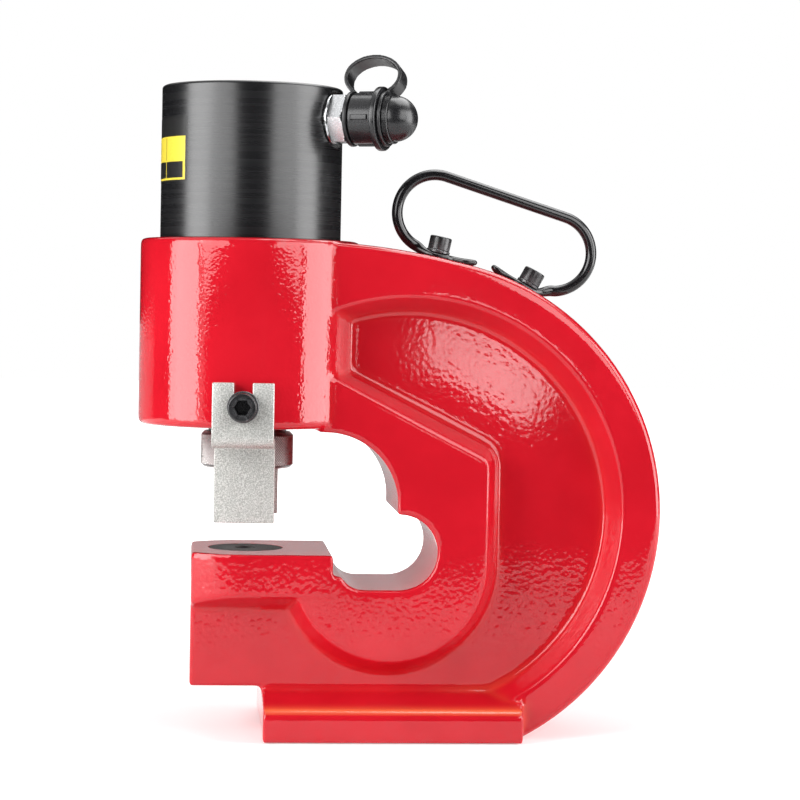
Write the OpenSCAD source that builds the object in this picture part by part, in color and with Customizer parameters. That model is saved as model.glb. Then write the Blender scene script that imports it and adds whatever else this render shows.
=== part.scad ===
// Hydraulic hole punch: a cast C-frame with a ram cylinder screwed into its head, a punch and
// die, two bent stripper plates, a carrying handle and a capped hose coupler.
// Lengths are in millimetres and angles in degrees. The pieces are laid out round the punch
// axis (x = 0, y = 0), with the floor at z = 0 and the back of the throat towards +X.
// Everything is then shifted so that the origin is the centre of the foot's underside.

/* [Frame casting] */
// Throat depth, from the punch axis to the back of the throat
throat_depth = 110; // [104:1:116]
// Daylight between the anvil and the underside of the head
throat_gap = 73; // [70:1:78]
// Height of the anvil's top, where the work lies, above the floor
anvil_h = 105.5; // [102:0.5:110]
// Thickness of the casting across its raised faces
frame_t = 90; // [84:1:96]
// Thickness of the recessed web
web_t = 54; // [46:1:60]
// Radius of the round back
rim_r = 147.5; // [145:0.5:152]
// How far the top of the round back lies below the top of the head
rim_drop = 9; // [6:0.5:12]
// Metal behind the throat, out to the round back
back_w = 130.5; // [126:0.5:135]
// Width of the raised rim along the round back
rim_w = 23; // [18:1:28]
// Radius of the shallow crown that runs from the head to the round back
crown_r = 400; // [350:5:450]
// How far the crown starts below the top of the head
crown_drop = 1; // [0.5:0.5:3]
// Rounding of the casting's outer edges
edge_r = 5; // [3:0.5:8]
// Sideways run of the draft on the recess walls
recess_draft = 8; // [5:0.5:10]

/* [Throat] */
// Radius of the upper part of the throat
upper_throat_r = 42; // [40:0.5:44]
// Depth of the upper part of the throat, from the punch axis
upper_throat_depth = 86.5; // [84:0.5:89]
// Radius of the deep lower lobe of the throat
lobe_r = 22; // [20:0.5:23]
// Depth of the relief behind the anvil, below the anvil's top
relief_depth = 20; // [17:0.5:24]
// Radius of the relief's front corner
relief_r = 15; // [12:0.5:17]
// Start of the relief, from the punch axis
relief_start = 52.5; // [50:0.5:55]
// How far the cast roof of the throat stops below the machined face of the head
head_step = 2; // [1:0.5:4]

/* [Raised border round the throat] */
// Width of the border behind the throat
border_w = 28.5; // [25:0.5:32]
// Radius of the border's lower sweep
border_r = 56; // [54:0.5:58]
// Depth of the border under the relief
border_under = 41.5; // [39:0.5:44]
// Rounding of the border's upper corners
border_corner_r = 8; // [5:0.5:10]
// Centre of the border's back corner, below the head
border_drop = 21.5; // [18:0.5:26]
// Centre of the border's front corner, above the underside of the head
border_rise = 28.5; // [25:0.5:32]

/* [Anvil and foot] */
// Front of the anvil, from the punch axis
anvil_front = 32; // [30:0.5:36]
// Height of the anvil's underside above the floor
anvil_under = 27; // [24:0.5:30]
// Height of the wide boss that holds the die
boss_h = 24.5; // [22:0.5:28]
// Step by which the boss stands proud of the casting's sides
boss_step = 0.5; // [0.3:0.1:2]
// Length of the foot
foot_len = 149.5; // [145:0.5:150]
// Width of the foot
foot_w = 124; // [116:1:132]
// Start of the foot, from the punch axis
foot_setback = 10; // [9:0.5:12]
// Height of the foot's outer edge
foot_edge_h = 18; // [15:0.5:21]
// Rise of the foot's ledge, from its outer edge to the web
foot_rise = 7; // [4:0.5:10]
// Bevel along the foot's upper edge
foot_bevel = 3; // [2:0.5:4]
// Splay of the foot's back end
foot_splay = 2; // [1:0.5:2]

/* [Head and cylinder] */
// Diameter of the head
head_d = 128.5; // [126:0.5:132]
// Height of the head
head_h = 108.5; // [105:0.5:112]
// Rounding of the head's edges
head_edge_r = 3; // [2:0.5:5]
// Width of the cast ring round the head's machined face
head_ring_w = 5; // [3:0.5:7]
// Thickness of the head's floor round the ram
head_floor_t = 18; // [16:0.5:21]
// Outer diameter of the cylinder
cylinder_d = 106; // [103:0.5:110]
// Height of the cylinder above the head
cylinder_h = 89; // [86:0.5:94]
// Rounding of the cylinder's top edge
cylinder_edge_r = 2; // [1:0.5:4]
// Bore of the cylinder
bore_d = 80; // [77:0.5:82]
// Thickness of the cylinder's closed end
cylinder_end_t = 28; // [27:0.5:30]
// Diameter of the screwed spigot
spigot_d = 94; // [91:0.5:97]
// Length of the screwed spigot
spigot_l = 65; // [60:0.5:70]
// Gap under the spigot
spigot_gap = 2; // [1:0.5:4]

/* [Ram] */
// Diameter of the ram
ram_d = 46; // [44:0.5:48]
// Stroke of the ram
ram_stroke = 22; // [18:0.5:24]
// Height of the piston
piston_h = 28; // [26:0.5:32]
// Oil space above the piston at rest
oil_gap = 3; // [2:0.5:4]
// Diameter of the stop on top of the piston
stop_d = 30; // [24:1:36]
// Depth of the groove for the piston seal
seal_t = 5; // [4:0.5:6]
// Height of the piston seal
seal_h = 6; // [5:0.5:7]
// Depth of the groove for the guide ring
guide_ring_t = 2.5; // [2:0.5:3]
// Height of the guide ring
guide_ring_h = 9; // [7:0.5:10]
// Land at each end of the piston
piston_land = 5; // [4:0.5:5]
// Wall of the bronze bush
bush_t = 5; // [4:0.5:6]
// Wall of the rod wiper
wiper_t = 4; // [3:0.5:5]
// Height of the rod wiper
wiper_h = 5; // [4:0.5:6]
// Thickness of the ring under the return spring
spring_seat_t = 3; // [2:0.5:4]
// Wire of the return spring
spring_wire = 7; // [6:0.5:8]
// Turns of the return spring
spring_turns = 8; // [7:1:9]

/* [Punch and die] */
// Diameter of the punch
punch_d = 11.4; // [9:0.2:12.4]
// How far the punch enters the die at the end of the stroke
punch_entry = 2.5; // [2:0.5:4]
// Diameter of the punch's body
punch_body_d = 24; // [20:0.5:26]
// Length of the punch's body below the nut
punch_body_l = 6; // [4:0.5:8]
// Length of the punch's taper
punch_taper = 9; // [7:0.5:11]
// Diameter of the punch's flange
punch_flange_d = 36; // [32:0.5:40]
// Thickness of the punch's flange
punch_flange_t = 6; // [5:0.5:7]
// Diameter of the knurled nut
nut_d = 54.5; // [53:0.5:56]
// Height of the knurled nut
nut_h = 21; // [20:0.5:22]
// Gap between the nut and the head
nut_gap = 4; // [3:0.5:5]
// Thickness of the nut's lip
nut_lip = 6; // [5:0.5:7]
// Bevel on the nut's edges
nut_bevel = 2; // [1:0.5:3]
// Diameter of the die
die_d = 44; // [42:0.5:46]
// Height of the die
die_h = 25; // [23:0.5:27]
// Height of the die's cutting land
die_land = 6; // [4:0.5:8]
// Extra diameter of the die's relief under the land
die_relief = 4; // [3:0.5:5]
// Bevel on the die's upper edge
die_bevel = 0.6; // [0.4:0.1:1]
// Diameter of the slug hole under the die
slug_d = 18; // [17:0.5:19]
// Diameter of the die's set screw
grub_d = 8; // [6:0.5:10]
// How far the set screw sits inside the anvil's front
grub_recess = 1; // [0.5:0.5:3]
// Socket of the die's set screw, across its flats
grub_socket = 4; // [3:0.5:5]

/* [Stripper plates] */
// Width of a stripper plate
stripper_w = 35; // [32:0.5:38]
// Thickness of a stripper plate
stripper_t = 4.5; // [4:0.5:5]
// Top of a plate, above the underside of the head
stripper_top = 26.5; // [25:0.5:30]
// Bottom of a plate, above the anvil
stripper_clear = 17.5; // [15:0.5:20]
// Gap between the lower part of a plate and the nut
stripper_gap = 4.5; // [4:0.5:5]
// Middle of a plate's level shelf, below the head
shelf_drop = 8.5; // [7.5:0.5:9.5]
// Middle radius of a plate's bends
bend_r = 5; // [4:0.5:6]
// Width of the slot in a plate
stripper_slot_w = 10.6; // [10.4:0.2:11.4]
// Height of the stripper screws above the underside of the head
stripper_screw_h = 13; // [12:0.5:14]
// Way for a plate to be set higher
stripper_up = 3; // [2:0.5:3]
// Way for a plate to be set lower
stripper_down = 6; // [4:0.5:8]
// Turn of the stripper screws round the punch axis
stripper_turn = 3.7; // [0:0.1:5]

/* [Screws] */
// Stripper screw thread
stripper_screw_d = 10; // [9:0.2:10]
// Stripper screw head
stripper_head_d = 16; // [15:0.5:17]
// Stripper screw head height
stripper_head_h = 10; // [8:0.5:11]
// Stripper washer
washer_d = 18; // [17.5:0.5:20]
// Stripper washer thickness
washer_t = 1.6; // [1.2:0.2:2]
// Depth of a stripper screw in the head
stripper_screw_in = 14; // [12:0.5:15]
// Handle screw thread
handle_screw_d = 8; // [7:0.2:8]
// Handle screw head
handle_head_d = 13; // [12:0.5:14]
// Handle screw head height
handle_head_h = 8; // [7:0.5:9]
// Handle washer
handle_washer_d = 14; // [13.5:0.5:15]
// Handle washer thickness
handle_washer_t = 1.6; // [1.2:0.2:2]
// Depth of a handle screw in the rim
handle_screw_in = 14; // [12:0.5:18]

/* [Carrying handle] */
// Diameter of the handle's rod
handle_d = 6.4; // [6:0.2:8]
// Length of the handle over the middle of its rod
handle_len = 120; // [116:1:126]
// Radius of the handle's round ends
handle_r = 22.5; // [21:0.5:24]
// Turn of the round ends past the side
handle_bend = 70; // [65:1:75]
// Spacing of the handle's screws
handle_spacing = 56; // [54:1:62]
// Distance of the handle's middle behind the end of the crown
handle_shift = 7; // [0:0.5:8]
// Angle by which the handle leans back further than the crown
handle_tilt = 2.6; // [0:0.2:4]
// Thickness of the flattened pads
pad_t = 4; // [3.5:0.5:5]
// Width of the pads
pad_w = 16; // [15:0.5:18]
// Length of a pad from its screw to its root
pad_root = 14; // [12:0.5:15]
// Length of a pad from its screw to its tip
pad_tip = 24; // [20:0.5:25]
// Width of a pad's tip
pad_tip_w = 9; // [8:0.5:10]

/* [Hose coupler] */
// Height of the coupler's axis, below the top of the cylinder
coupler_drop = 18.5; // [17:0.5:20]
// Turn of the coupler away from the line of the frame
coupler_turn = 25; // [15:1:35]
// Diameter of the machined seat on the cylinder
coupler_seat_d = 34; // [32:0.5:36]
// Depth of the machined seat
coupler_seat_h = 3; // [2.9:0.1:4]
// Diameter of the coupler's sealing washer
coupler_washer_d = 29; // [28:0.5:31]
// Thickness of the coupler's sealing washer
coupler_washer_t = 2; // [1.5:0.5:3]
// Diameter of the coupler's screwed stem
stem_d = 16.6; // [15:0.2:17]
// Length of the coupler's screwed stem
stem_l = 12; // [11:0.5:13]
// Coupler hexagon, across its flats
hex_flats = 27; // [26:0.5:28]
// Coupler hexagon length
hex_l = 10; // [9:0.5:12]
// Turn of the coupler hexagon about its own axis
hex_turn = 30; // [0:5:30]
// Diameter of the neck that holds the strap
neck_d = 20; // [18:0.5:21]
// Diameter of the nipple
nipple_d = 24; // [23:0.5:25]
// Length of the nipple
nipple_l = 14.5; // [13:0.5:16]
// Mouth of the nipple
mouth_d = 9; // [8:0.5:10]
// Depth of the nipple's mouth
mouth_l = 3; // [2.5:0.5:4]
// Diameter of the valve chamber
valve_d = 12; // [11.5:0.5:13]
// Length of the valve chamber
valve_l = 17; // [16:0.5:18]
// Diameter of the oil way
oil_way_d = 5; // [4:0.5:6]
// Length of the valve's head
poppet_h = 4; // [3:0.5:5]
// Wire of the valve spring
valve_wire = 1.2; // [1:0.1:1.4]
// Turns of the valve spring
valve_turns = 5; // [4:1:6]

/* [Dust cap and strap] */
// Outer diameter of the cap's cup
cap_d = 30; // [29:0.5:32]
// Width of a grip rib
cap_rib_w = 3; // [2:0.5:4]
// Height of a grip rib
cap_rib_h = 0.9; // [0.5:0.1:1.2]
// Diameter of the cap's flange
cap_flange_d = 37; // [36:0.5:39]
// Thickness of the cap's flange
cap_flange_t = 3.4; // [3:0.2:4]
// Diameter of the groove that holds the strap
cap_groove_d = 25; // [24:0.5:26]
// Diameter of the cap's collar
cap_collar_d = 29; // [28:0.5:30]
// Length of the cap's collar
cap_collar_l = 3.4; // [3:0.2:4]
// Diameter of the cap's dome
cap_dome_d = 26.5; // [25:0.5:27.5]
// Way that pulls the cap off the nipple
cap_pull = 24; // [20:1:30]
// Thickness of the strap and its rings
strap_t = 2.2; // [2:0.1:2.6]
// Width of the strap
strap_w = 12; // [10:0.5:13]
// Outer diameter of the strap's rings
strap_ring_d = 32; // [31:0.5:34]
// Radius of the strap's loop
strap_r = 16.5; // [15.5:0.5:18]
// Lean of the strap's loop, behind the coupler
strap_lean = 30; // [26:1:34]

/* [Fits] */
// Radial clearance of running fits
run_clearance = 0.05; // [0.03:0.01:0.1]
// Clearance of screwed and seated pieces
seat_clearance = 0.05; // [0.02:0.01:0.1]
// Gap between pieces that only pass each other
pass_gap = 0.3; // [0.3:0.05:0.5]
// Clearance of the punch in the die, all round
die_clearance = 0.3; // [0.2:0.05:0.4]

/* [Hidden] */
// Levels along the punch axis
head_z = anvil_h + throat_gap;
head_top_z = head_z + head_h;
cylinder_top_z = head_top_z + cylinder_h;
chamber_top_z = cylinder_top_z - cylinder_end_t;
spigot_z = head_top_z - spigot_l;
head_floor_z = head_z + head_floor_t;
spring_low_z = head_floor_z + spring_seat_t;
piston_top_z = chamber_top_z - oil_gap;
piston_z = piston_top_z - piston_h;
nut_top_z = head_z - nut_gap;
nut_z = nut_top_z - nut_h;
flange_z = nut_z + nut_lip;
ram_end_z = flange_z + punch_flange_t;
punch_tip_z = anvil_h - punch_entry + ram_stroke;
die_z = anvil_h - die_h;
piston_d = bore_d - 2 * run_clearance;
bush_d = ram_d + 2 * bush_t;
wiper_d = ram_d + 2 * wiper_t;
spring_mean_d = (bore_d + ram_d) / 2;
die_hole_d = punch_d + 2 * die_clearance;

// Outline of the casting in its middle plane, as [x, z] places
rim_x = throat_depth + back_w - rim_r;
rim_center_h = head_top_z - rim_drop - rim_r;
head_r = head_d / 2;
crown_start = [sqrt(head_r * head_r - frame_t * frame_t / 4), head_top_z - crown_drop];
crown_far = norm(crown_start - [rim_x, rim_center_h]);
crown_arm = crown_r - rim_r;
crown_bend = acos((crown_arm * crown_arm + crown_far * crown_far - crown_r * crown_r)
    / (2 * crown_arm * crown_far));
crown_aim = atan2(crown_start[1] - rim_center_h, crown_start[0] - rim_x) + crown_bend;
crown_x = rim_x + crown_arm * cos(crown_aim);
crown_z = rim_center_h + crown_arm * sin(crown_aim);
// Tilt of the line through the centres of the crown and the round back, where the handle stands
crown_tilt = 270 - crown_aim;

recess_depth = (frame_t - web_t) / 2;
throat_top_z = head_z - head_step;
upper_throat_x = upper_throat_depth - upper_throat_r;
relief_z = anvil_h - relief_depth;
lobe_x = throat_depth - lobe_r;
lobe_z = relief_z + lobe_r;
border_x = throat_depth + border_w - border_r;
border_z = relief_z - border_under + border_r;
foot_end = foot_setback + foot_len;
boss_w = frame_t + 2 * boss_step;
punch_x = -(foot_setback + foot_len / 2);

// Stripper plates: distances from the punch axis and heights
stripper_far = head_r + pass_gap;
upper_mid = stripper_far + stripper_t / 2;
lower_mid = nut_d / 2 + stripper_gap + stripper_t / 2;
shelf_z = head_z - shelf_drop;
stripper_top_z = head_z + stripper_top;
stripper_low_z = anvil_h + stripper_clear;
stripper_screw_z = head_z + stripper_screw_h;
washer_face = stripper_far + stripper_t + seat_clearance;
screw_face = washer_face + washer_t;

// Handle: half angles of its screws about the two arcs that it stands on
handle_turn_front = (handle_spacing / 2 - handle_shift) / crown_r * 180 / PI;
handle_turn_back = (handle_spacing / 2 + handle_shift) / rim_r * 180 / PI;
handle_mid_x = handle_len / 2 - handle_r;
handle_mid_z = handle_r + handle_d / 2;

// Coupler: distances along its axis from the cylinder's surface
coupler_z = cylinder_top_z - coupler_drop;
seat_s = -coupler_seat_h;
hex_s = seat_s + coupler_washer_t;
neck_s = hex_s + hex_l;
nipple_s = neck_s + strap_t + 2 * pass_gap;
nipple_end_s = nipple_s + nipple_l;
valve_end_s = nipple_end_s - mouth_l;
valve_s = valve_end_s - valve_l;
poppet_s = valve_end_s - pass_gap - poppet_h;
valve_mean_d = valve_d - 2 * valve_wire;
cap_s = nipple_s + pass_gap;
cap_floor_s = nipple_end_s + pass_gap;
cap_flange_s = cap_floor_s;
cap_groove_s = cap_flange_s + cap_flange_t;
cap_collar_s = cap_groove_s + strap_t + 2 * pass_gap;
cap_dome_s = cap_collar_s + cap_collar_l;
strap_neck_s = neck_s + pass_gap;
strap_cap_s = cap_groove_s + pass_gap;
strap_half = (strap_cap_s - strap_neck_s) / 2;
strap_dip = acos(strap_half / strap_r);
strap_root_r = (strap_ring_d + cap_collar_d) / 4;
strap_mid_s = strap_neck_s + strap_t / 2 + strap_half;
strap_mid_r = strap_root_r + strap_r * sin(strap_dip);

// One length serves all the overruns of cuts and the overlaps of joined pieces
overrun = foot_bevel;
// Thickness of the slices that a drawn-out neck starts and ends with
slice = pad_t / 4;
// How far a neck starts outside the rod and ends inside the pad
neck_rod_share = 1.1;
neck_pad_share = 0.8;
border_sides = 64;
wire_sides = 8;
steps_per_turn = 24;
$fn = 96;

// Which sub-part to draw

// A round bar on the punch axis between two heights
module rod(d, z_low, z_high) {
    translate([0, 0, z_low]) cylinder(d = d, h = z_high - z_low);
}

// A round ring on the punch axis
module ring(d_out, d_in, z_low, z_high) {
    difference() {
        rod(d_out, z_low, z_high);
        rod(d_in, z_low - overrun, z_high + overrun);
    }
}

// A disc whose two outer edges are rounded, about the Z axis
module rounded_disc(r, t, edge) {
    rotate_extrude() {
        translate([0, -t / 2]) square([r - edge, t]);
        translate([0, edge - t / 2]) square([r, t - 2 * edge]);
        for (side = [-1, 1]) translate([r - edge, side * (t / 2 - edge)]) circle(edge);
    }
}

// A wound wire: one unbroken tube round the Z axis, with its ends cut square
module wound_wire(mean_d, wire, turns, z_low, z_high) {
    count = turns * steps_per_turn;
    rise = (z_high - z_low - wire) / count;
    points = [for (i = [0:count], k = [0:wire_sides - 1])
        let (turn = 360 * i / steps_per_turn, side = 360 * k / wire_sides,
            reach = (mean_d + wire * cos(side)) / 2)
        [reach * cos(turn), reach * sin(turn), z_low + wire / 2 + rise * i + wire / 2 * sin(side)]];
    last = count * wire_sides;
    walls = [for (i = [0:count - 1], k = [0:wire_sides - 1])
        let (a = i * wire_sides + k, b = i * wire_sides + (k + 1) % wire_sides)
        [a, a + wire_sides, b + wire_sides, b]];
    start_cap = [[for (k = [0:wire_sides - 1]) k]];
    end_cap = [[for (k = [wire_sides - 1:-1:0]) last + k]];
    polyhedron(points, concat(walls, start_cap, end_cap));
}

// A socket screw: origin under its head, head upwards
module socket_screw(d, length, head_d, head_h) {
    difference() {
        union() {
            translate([0, 0, -length]) cylinder(d = d, h = length + head_h / 2);
            cylinder(d = head_d, h = head_h);
        }
        translate([0, 0, head_h / 2]) cylinder(d = head_d / 2 / cos(30), h = head_h, $fn = 6);
    }
}

// Frame casting

// Outline block: the round back and the crown, joined where they are tangent
module casting_block() {
    intersection() {
        translate([rim_x, 0, rim_center_h])
            rotate([0, crown_tilt, 0]) {
                intersection() {
                    rotate([90, 0, 0]) rounded_disc(rim_r, frame_t, edge_r);
                    translate([0, -frame_t, -2 * rim_r]) cube([2 * rim_r, 2 * frame_t, 4 * rim_r]);
                }
                intersection() {
                    translate([0, 0, -crown_arm]) rotate([90, 0, 0]) rounded_disc(crown_r, frame_t, edge_r);
                    translate([-2 * rim_r, -frame_t, -2 * rim_r]) cube([2 * rim_r, 2 * frame_t, 4 * rim_r]);
                }
            }
        translate([foot_setback, -frame_t, 0]) cube([throat_depth + back_w, 2 * frame_t, 2 * rim_r]);
    }
}

// A round wall with draft; distances are above the face of the web
module draft_wall(r_floor, run, low, high) {
    translate([0, 0, low])
        cylinder(r1 = r_floor + run * low / recess_depth, r2 = r_floor + run * high / recess_depth,
            h = high - low);
}

// The raised border round the throat, as the tapered plug that the recess leaves standing
module border_plug() {
    low = -overrun;
    high = recess_depth + overrun;
    corner = border_corner_r + recess_draft;
    hull() {
        translate([border_x, border_z])
            draft_wall(border_r + recess_draft, -recess_draft, low, high, $fn = border_sides);
        translate([throat_depth + border_w - border_corner_r, head_z - border_drop])
            draft_wall(corner, -recess_draft, low, high, $fn = border_sides);
        translate([head_r / 2, head_z + border_rise])
            draft_wall(corner, -recess_draft, low, high, $fn = border_sides);
    }
}

// The recess in the near face of the casting
module recess() {
    rotate([90, 0, 0])
        translate([0, 0, web_t / 2])
            difference() {
                union() {
                    translate([rim_x, rim_center_h])
                        draft_wall(rim_r - rim_w - recess_draft, recess_draft, 0, recess_depth + overrun);
                    translate([foot_setback - overrun, -overrun])
                        cube([rim_x - foot_setback, rim_center_h, recess_depth + overrun]);
                }
                border_plug();
            }
}

// Outline of the throat, seen from the side
module throat_outline() {
    translate([-anvil_front, anvil_h]) square([upper_throat_x + anvil_front, throat_top_z - anvil_h]);
    translate([upper_throat_x, throat_top_z - upper_throat_r]) circle(upper_throat_r);
    translate([lobe_x, lobe_z]) circle(lobe_r);
    translate([relief_start + relief_r, relief_z + relief_r]) circle(relief_r);
    translate([relief_start + relief_r, relief_z]) square([lobe_x - relief_start - relief_r, lobe_r]);
    translate([relief_start, relief_z + relief_r])
        square([lobe_x - relief_start, relief_depth - relief_r + overrun]);
}

// The wide boss that holds the die, with a sloping underside
module anvil_boss() {
    low = anvil_h - boss_h;
    intersection() {
        translate([0, 0, low - recess_draft - overrun])
            linear_extrude(boss_h + recess_draft + overrun)
                intersection() {
                    union() {
                        circle(d = boss_w);
                        translate([0, -boss_w / 2]) square([relief_start - overrun, boss_w]);
                    }
                    translate([-anvil_front, -boss_w]) square([anvil_front + relief_start, 2 * boss_w]);
                }
        rotate([90, 0, 90])
            translate([0, 0, -anvil_front - overrun])
                linear_extrude(anvil_front + relief_start + 2 * overrun)
                    polygon([
                        [-frame_t / 2 - overrun, low + recess_draft * overrun / recess_depth],
                        [-web_t / 2, low - recess_draft],
                        [web_t / 2, low - recess_draft],
                        [frame_t / 2 + overrun, low + recess_draft * overrun / recess_depth],
                        [frame_t / 2 + overrun, anvil_h],
                        [-frame_t / 2 - overrun, anvil_h]
                    ]);
    }
    translate([-anvil_front, -web_t / 2, anvil_under])
        cube([anvil_front + relief_start - overrun, web_t, low - anvil_under]);
}

// The foot: a sloping ledge on each side, splayed at the back
module foot() {
    side = (foot_w - web_t) / 2;
    intersection() {
        rotate([90, 0, 90])
            linear_extrude(foot_end + foot_splay)
                polygon([
                    [-foot_w / 2, 0],
                    [foot_w / 2, 0],
                    [foot_w / 2, foot_edge_h - foot_bevel],
                    [foot_w / 2 - foot_bevel, foot_edge_h + foot_rise * foot_bevel / side],
                    [web_t / 2, foot_edge_h + foot_rise],
                    [-web_t / 2, foot_edge_h + foot_rise],
                    [foot_bevel - foot_w / 2, foot_edge_h + foot_rise * foot_bevel / side],
                    [-foot_w / 2, foot_edge_h - foot_bevel]
                ]);
        linear_extrude(foot_edge_h + foot_rise + overrun)
            polygon([
                [foot_setback, -foot_w / 2],
                [foot_end, -foot_w / 2],
                [foot_end + foot_splay, -web_t / 2],
                [foot_end + foot_splay, web_t / 2],
                [foot_end, foot_w / 2],
                [foot_setback, foot_w / 2]
            ]);
    }
}

// The round head
module head() {
    translate([0, 0, head_z + head_h / 2]) rounded_disc(head_r, head_h, head_edge_r);
}

// Places a child on a stripper screw's axis, pointing away from the head
module at_stripper(side) {
    rotate([0, 0, -stripper_turn])
        translate([0, 0, stripper_screw_z])
            rotate([-90 * side, 0, 0])
                children();
}

// Places a child on the crown or the round back where a handle screw goes in, upright on the surface
module at_handle_seat(side) {
    x = side < 0 ? crown_x : rim_x;
    z = side < 0 ? crown_z : rim_center_h;
    r = side < 0 ? crown_r : rim_r;
    turn = side < 0 ? -handle_turn_front : handle_turn_back;
    translate([x, 0, z]) rotate([0, crown_tilt + turn, 0]) translate([0, 0, r]) children();
}

// Holes in the casting
module frame_holes() {
    rod(2 * (head_r - head_ring_w), head_z - head_step - overrun, head_z);
    rod(spigot_d + 2 * seat_clearance, spigot_z - spigot_gap, head_top_z + overrun);
    rod(bore_d, head_floor_z, spigot_z);
    rod(bush_d + 2 * seat_clearance, head_z + wiper_h, head_floor_z + overrun);
    rod(wiper_d + 2 * seat_clearance, head_z - overrun, head_z + wiper_h + overrun);
    rod(die_d + 2 * seat_clearance, die_z, anvil_h + overrun);
    rod(slug_d, anvil_under - overrun, anvil_h);
    translate([0, 0, anvil_h - die_h / 2])
        rotate([0, -90, 0])
            cylinder(d = grub_d + 2 * seat_clearance, h = anvil_front + overrun);
    for (side = [-1, 1]) {
        at_stripper(side)
            translate([0, 0, head_r - stripper_screw_in - seat_clearance])
                cylinder(d = stripper_screw_d + 2 * seat_clearance, h = stripper_screw_in + overrun);
        at_handle_seat(side)
            translate([0, 0, -handle_screw_in - seat_clearance])
                cylinder(d = handle_screw_d + 2 * seat_clearance, h = handle_screw_in + overrun);
    }
}

module frame() {
    color("firebrick")
        difference() {
            union() {
                difference() {
                    casting_block();
                    recess();
                    mirror([0, 1, 0]) recess();
                    rotate([90, 0, 0]) linear_extrude(2 * frame_t, center = true) throat_outline();
                }
                anvil_boss();
                foot();
                head();
            }
            frame_holes();
        }
}

// Cylinder and ram

// Places a child on the coupler's axis, with its origin on the cylinder's surface, pointing outwards
module at_coupler() {
    translate([0, 0, coupler_z])
        rotate([0, 0, -coupler_turn])
            rotate([0, 90, 0])
                translate([0, 0, cylinder_d / 2])
                    children();
}

module cylinder_shell() {
    rotate_extrude() {
        translate([0, head_top_z]) square([cylinder_d / 2 - cylinder_edge_r, cylinder_h]);
        translate([0, head_top_z]) square([cylinder_d / 2, cylinder_h - cylinder_edge_r]);
        translate([cylinder_d / 2 - cylinder_edge_r, cylinder_top_z - cylinder_edge_r])
            circle(cylinder_edge_r);
        translate([0, spigot_z]) square([spigot_d / 2, spigot_l + overrun]);
    }
}

module cylinder_body() {
    color("dimgray")
        difference() {
            cylinder_shell();
            rod(bore_d, spigot_z - overrun, chamber_top_z);
            at_coupler() {
                translate([0, 0, seat_s]) cylinder(d = coupler_seat_d, h = coupler_seat_h + overrun);
                translate([0, 0, hex_s - stem_l - pass_gap])
                    cylinder(d = stem_d + 2 * seat_clearance, h = stem_l + overrun);
                translate([0, 0, -cylinder_d / 2 + stop_d / 2])
                    cylinder(d = oil_way_d, h = cylinder_d / 2 - stop_d / 2);
            }
            rotate([0, 0, -coupler_turn])
                translate([stop_d / 2 + oil_way_d, 0, chamber_top_z - overrun])
                    cylinder(d = oil_way_d, h = coupler_z - chamber_top_z + overrun);
        }
}

module ram() {
    seal_z = piston_top_z - piston_land - seal_h;
    color("silver")
        difference() {
            union() {
                rod(ram_d, ram_end_z, piston_z + overrun);
                rod(piston_d, piston_z, piston_top_z);
                rod(stop_d, piston_top_z - overrun, chamber_top_z - pass_gap);
            }
            ring(bore_d + overrun, bore_d - 2 * seal_t, seal_z, seal_z + seal_h);
            ring(bore_d + overrun, bore_d - 2 * guide_ring_t, piston_z + piston_land,
                piston_z + piston_land + guide_ring_h);
        }
}

module piston_seal() {
    seal_z = piston_top_z - piston_land - seal_h;
    color("seagreen")
        ring(bore_d - 2 * run_clearance, bore_d - 2 * seal_t + 2 * seat_clearance,
            seal_z + seat_clearance, seal_z + seal_h - seat_clearance);
}

module piston_guide_ring() {
    low = piston_z + piston_land;
    color("saddlebrown")
        ring(bore_d - 2 * run_clearance, bore_d - 2 * guide_ring_t + 2 * seat_clearance,
            low + seat_clearance, low + guide_ring_h - seat_clearance);
}

module guide_bush() {
    color("peru")
        ring(bush_d, ram_d + 2 * run_clearance, head_z + wiper_h + seat_clearance, head_floor_z);
}

module rod_wiper() {
    color("darkslategray")
        ring(wiper_d, ram_d + 2 * run_clearance, head_z + seat_clearance, head_z + wiper_h);
}

module spring_seat() {
    color("gray")
        ring(bore_d - 2 * pass_gap, ram_d + 2 * pass_gap, head_floor_z + seat_clearance, spring_low_z);
}

module return_spring() {
    color("slategray")
        wound_wire(spring_mean_d, spring_wire, spring_turns, spring_low_z + pass_gap, piston_z - pass_gap);
}

// Punch and die

module punch() {
    body_z = nut_z - punch_body_l;
    color("gray")
        union() {
            rod(punch_flange_d, flange_z + seat_clearance, ram_end_z - seat_clearance);
            rod(punch_body_d, body_z, ram_end_z - punch_flange_t / 2);
            translate([0, 0, body_z - punch_taper])
                cylinder(d1 = punch_d, d2 = punch_body_d, h = punch_taper);
            rod(punch_d, punch_tip_z, body_z);
        }
}

module punch_nut() {
    color("darkgray")
        difference() {
            rotate_extrude()
                polygon([
                    [0, nut_z],
                    [nut_d / 2 - nut_bevel, nut_z],
                    [nut_d / 2, nut_z + nut_bevel],
                    [nut_d / 2, nut_top_z - nut_bevel],
                    [nut_d / 2 - nut_bevel, nut_top_z],
                    [0, nut_top_z]
                ]);
            rod(ram_d + 2 * run_clearance, flange_z, nut_top_z + overrun);
            rod(punch_body_d + 2 * pass_gap, nut_z - overrun, nut_top_z);
        }
}

module die() {
    color("gray")
        difference() {
            rotate_extrude()
                polygon([
                    [0, die_z],
                    [die_d / 2, die_z],
                    [die_d / 2, anvil_h - die_bevel],
                    [die_d / 2 - die_bevel, anvil_h],
                    [0, anvil_h]
                ]);
            rod(die_hole_d, die_z - overrun, anvil_h + overrun);
            rod(die_hole_d + die_relief, die_z - overrun, anvil_h - die_land);
        }
}

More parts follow.
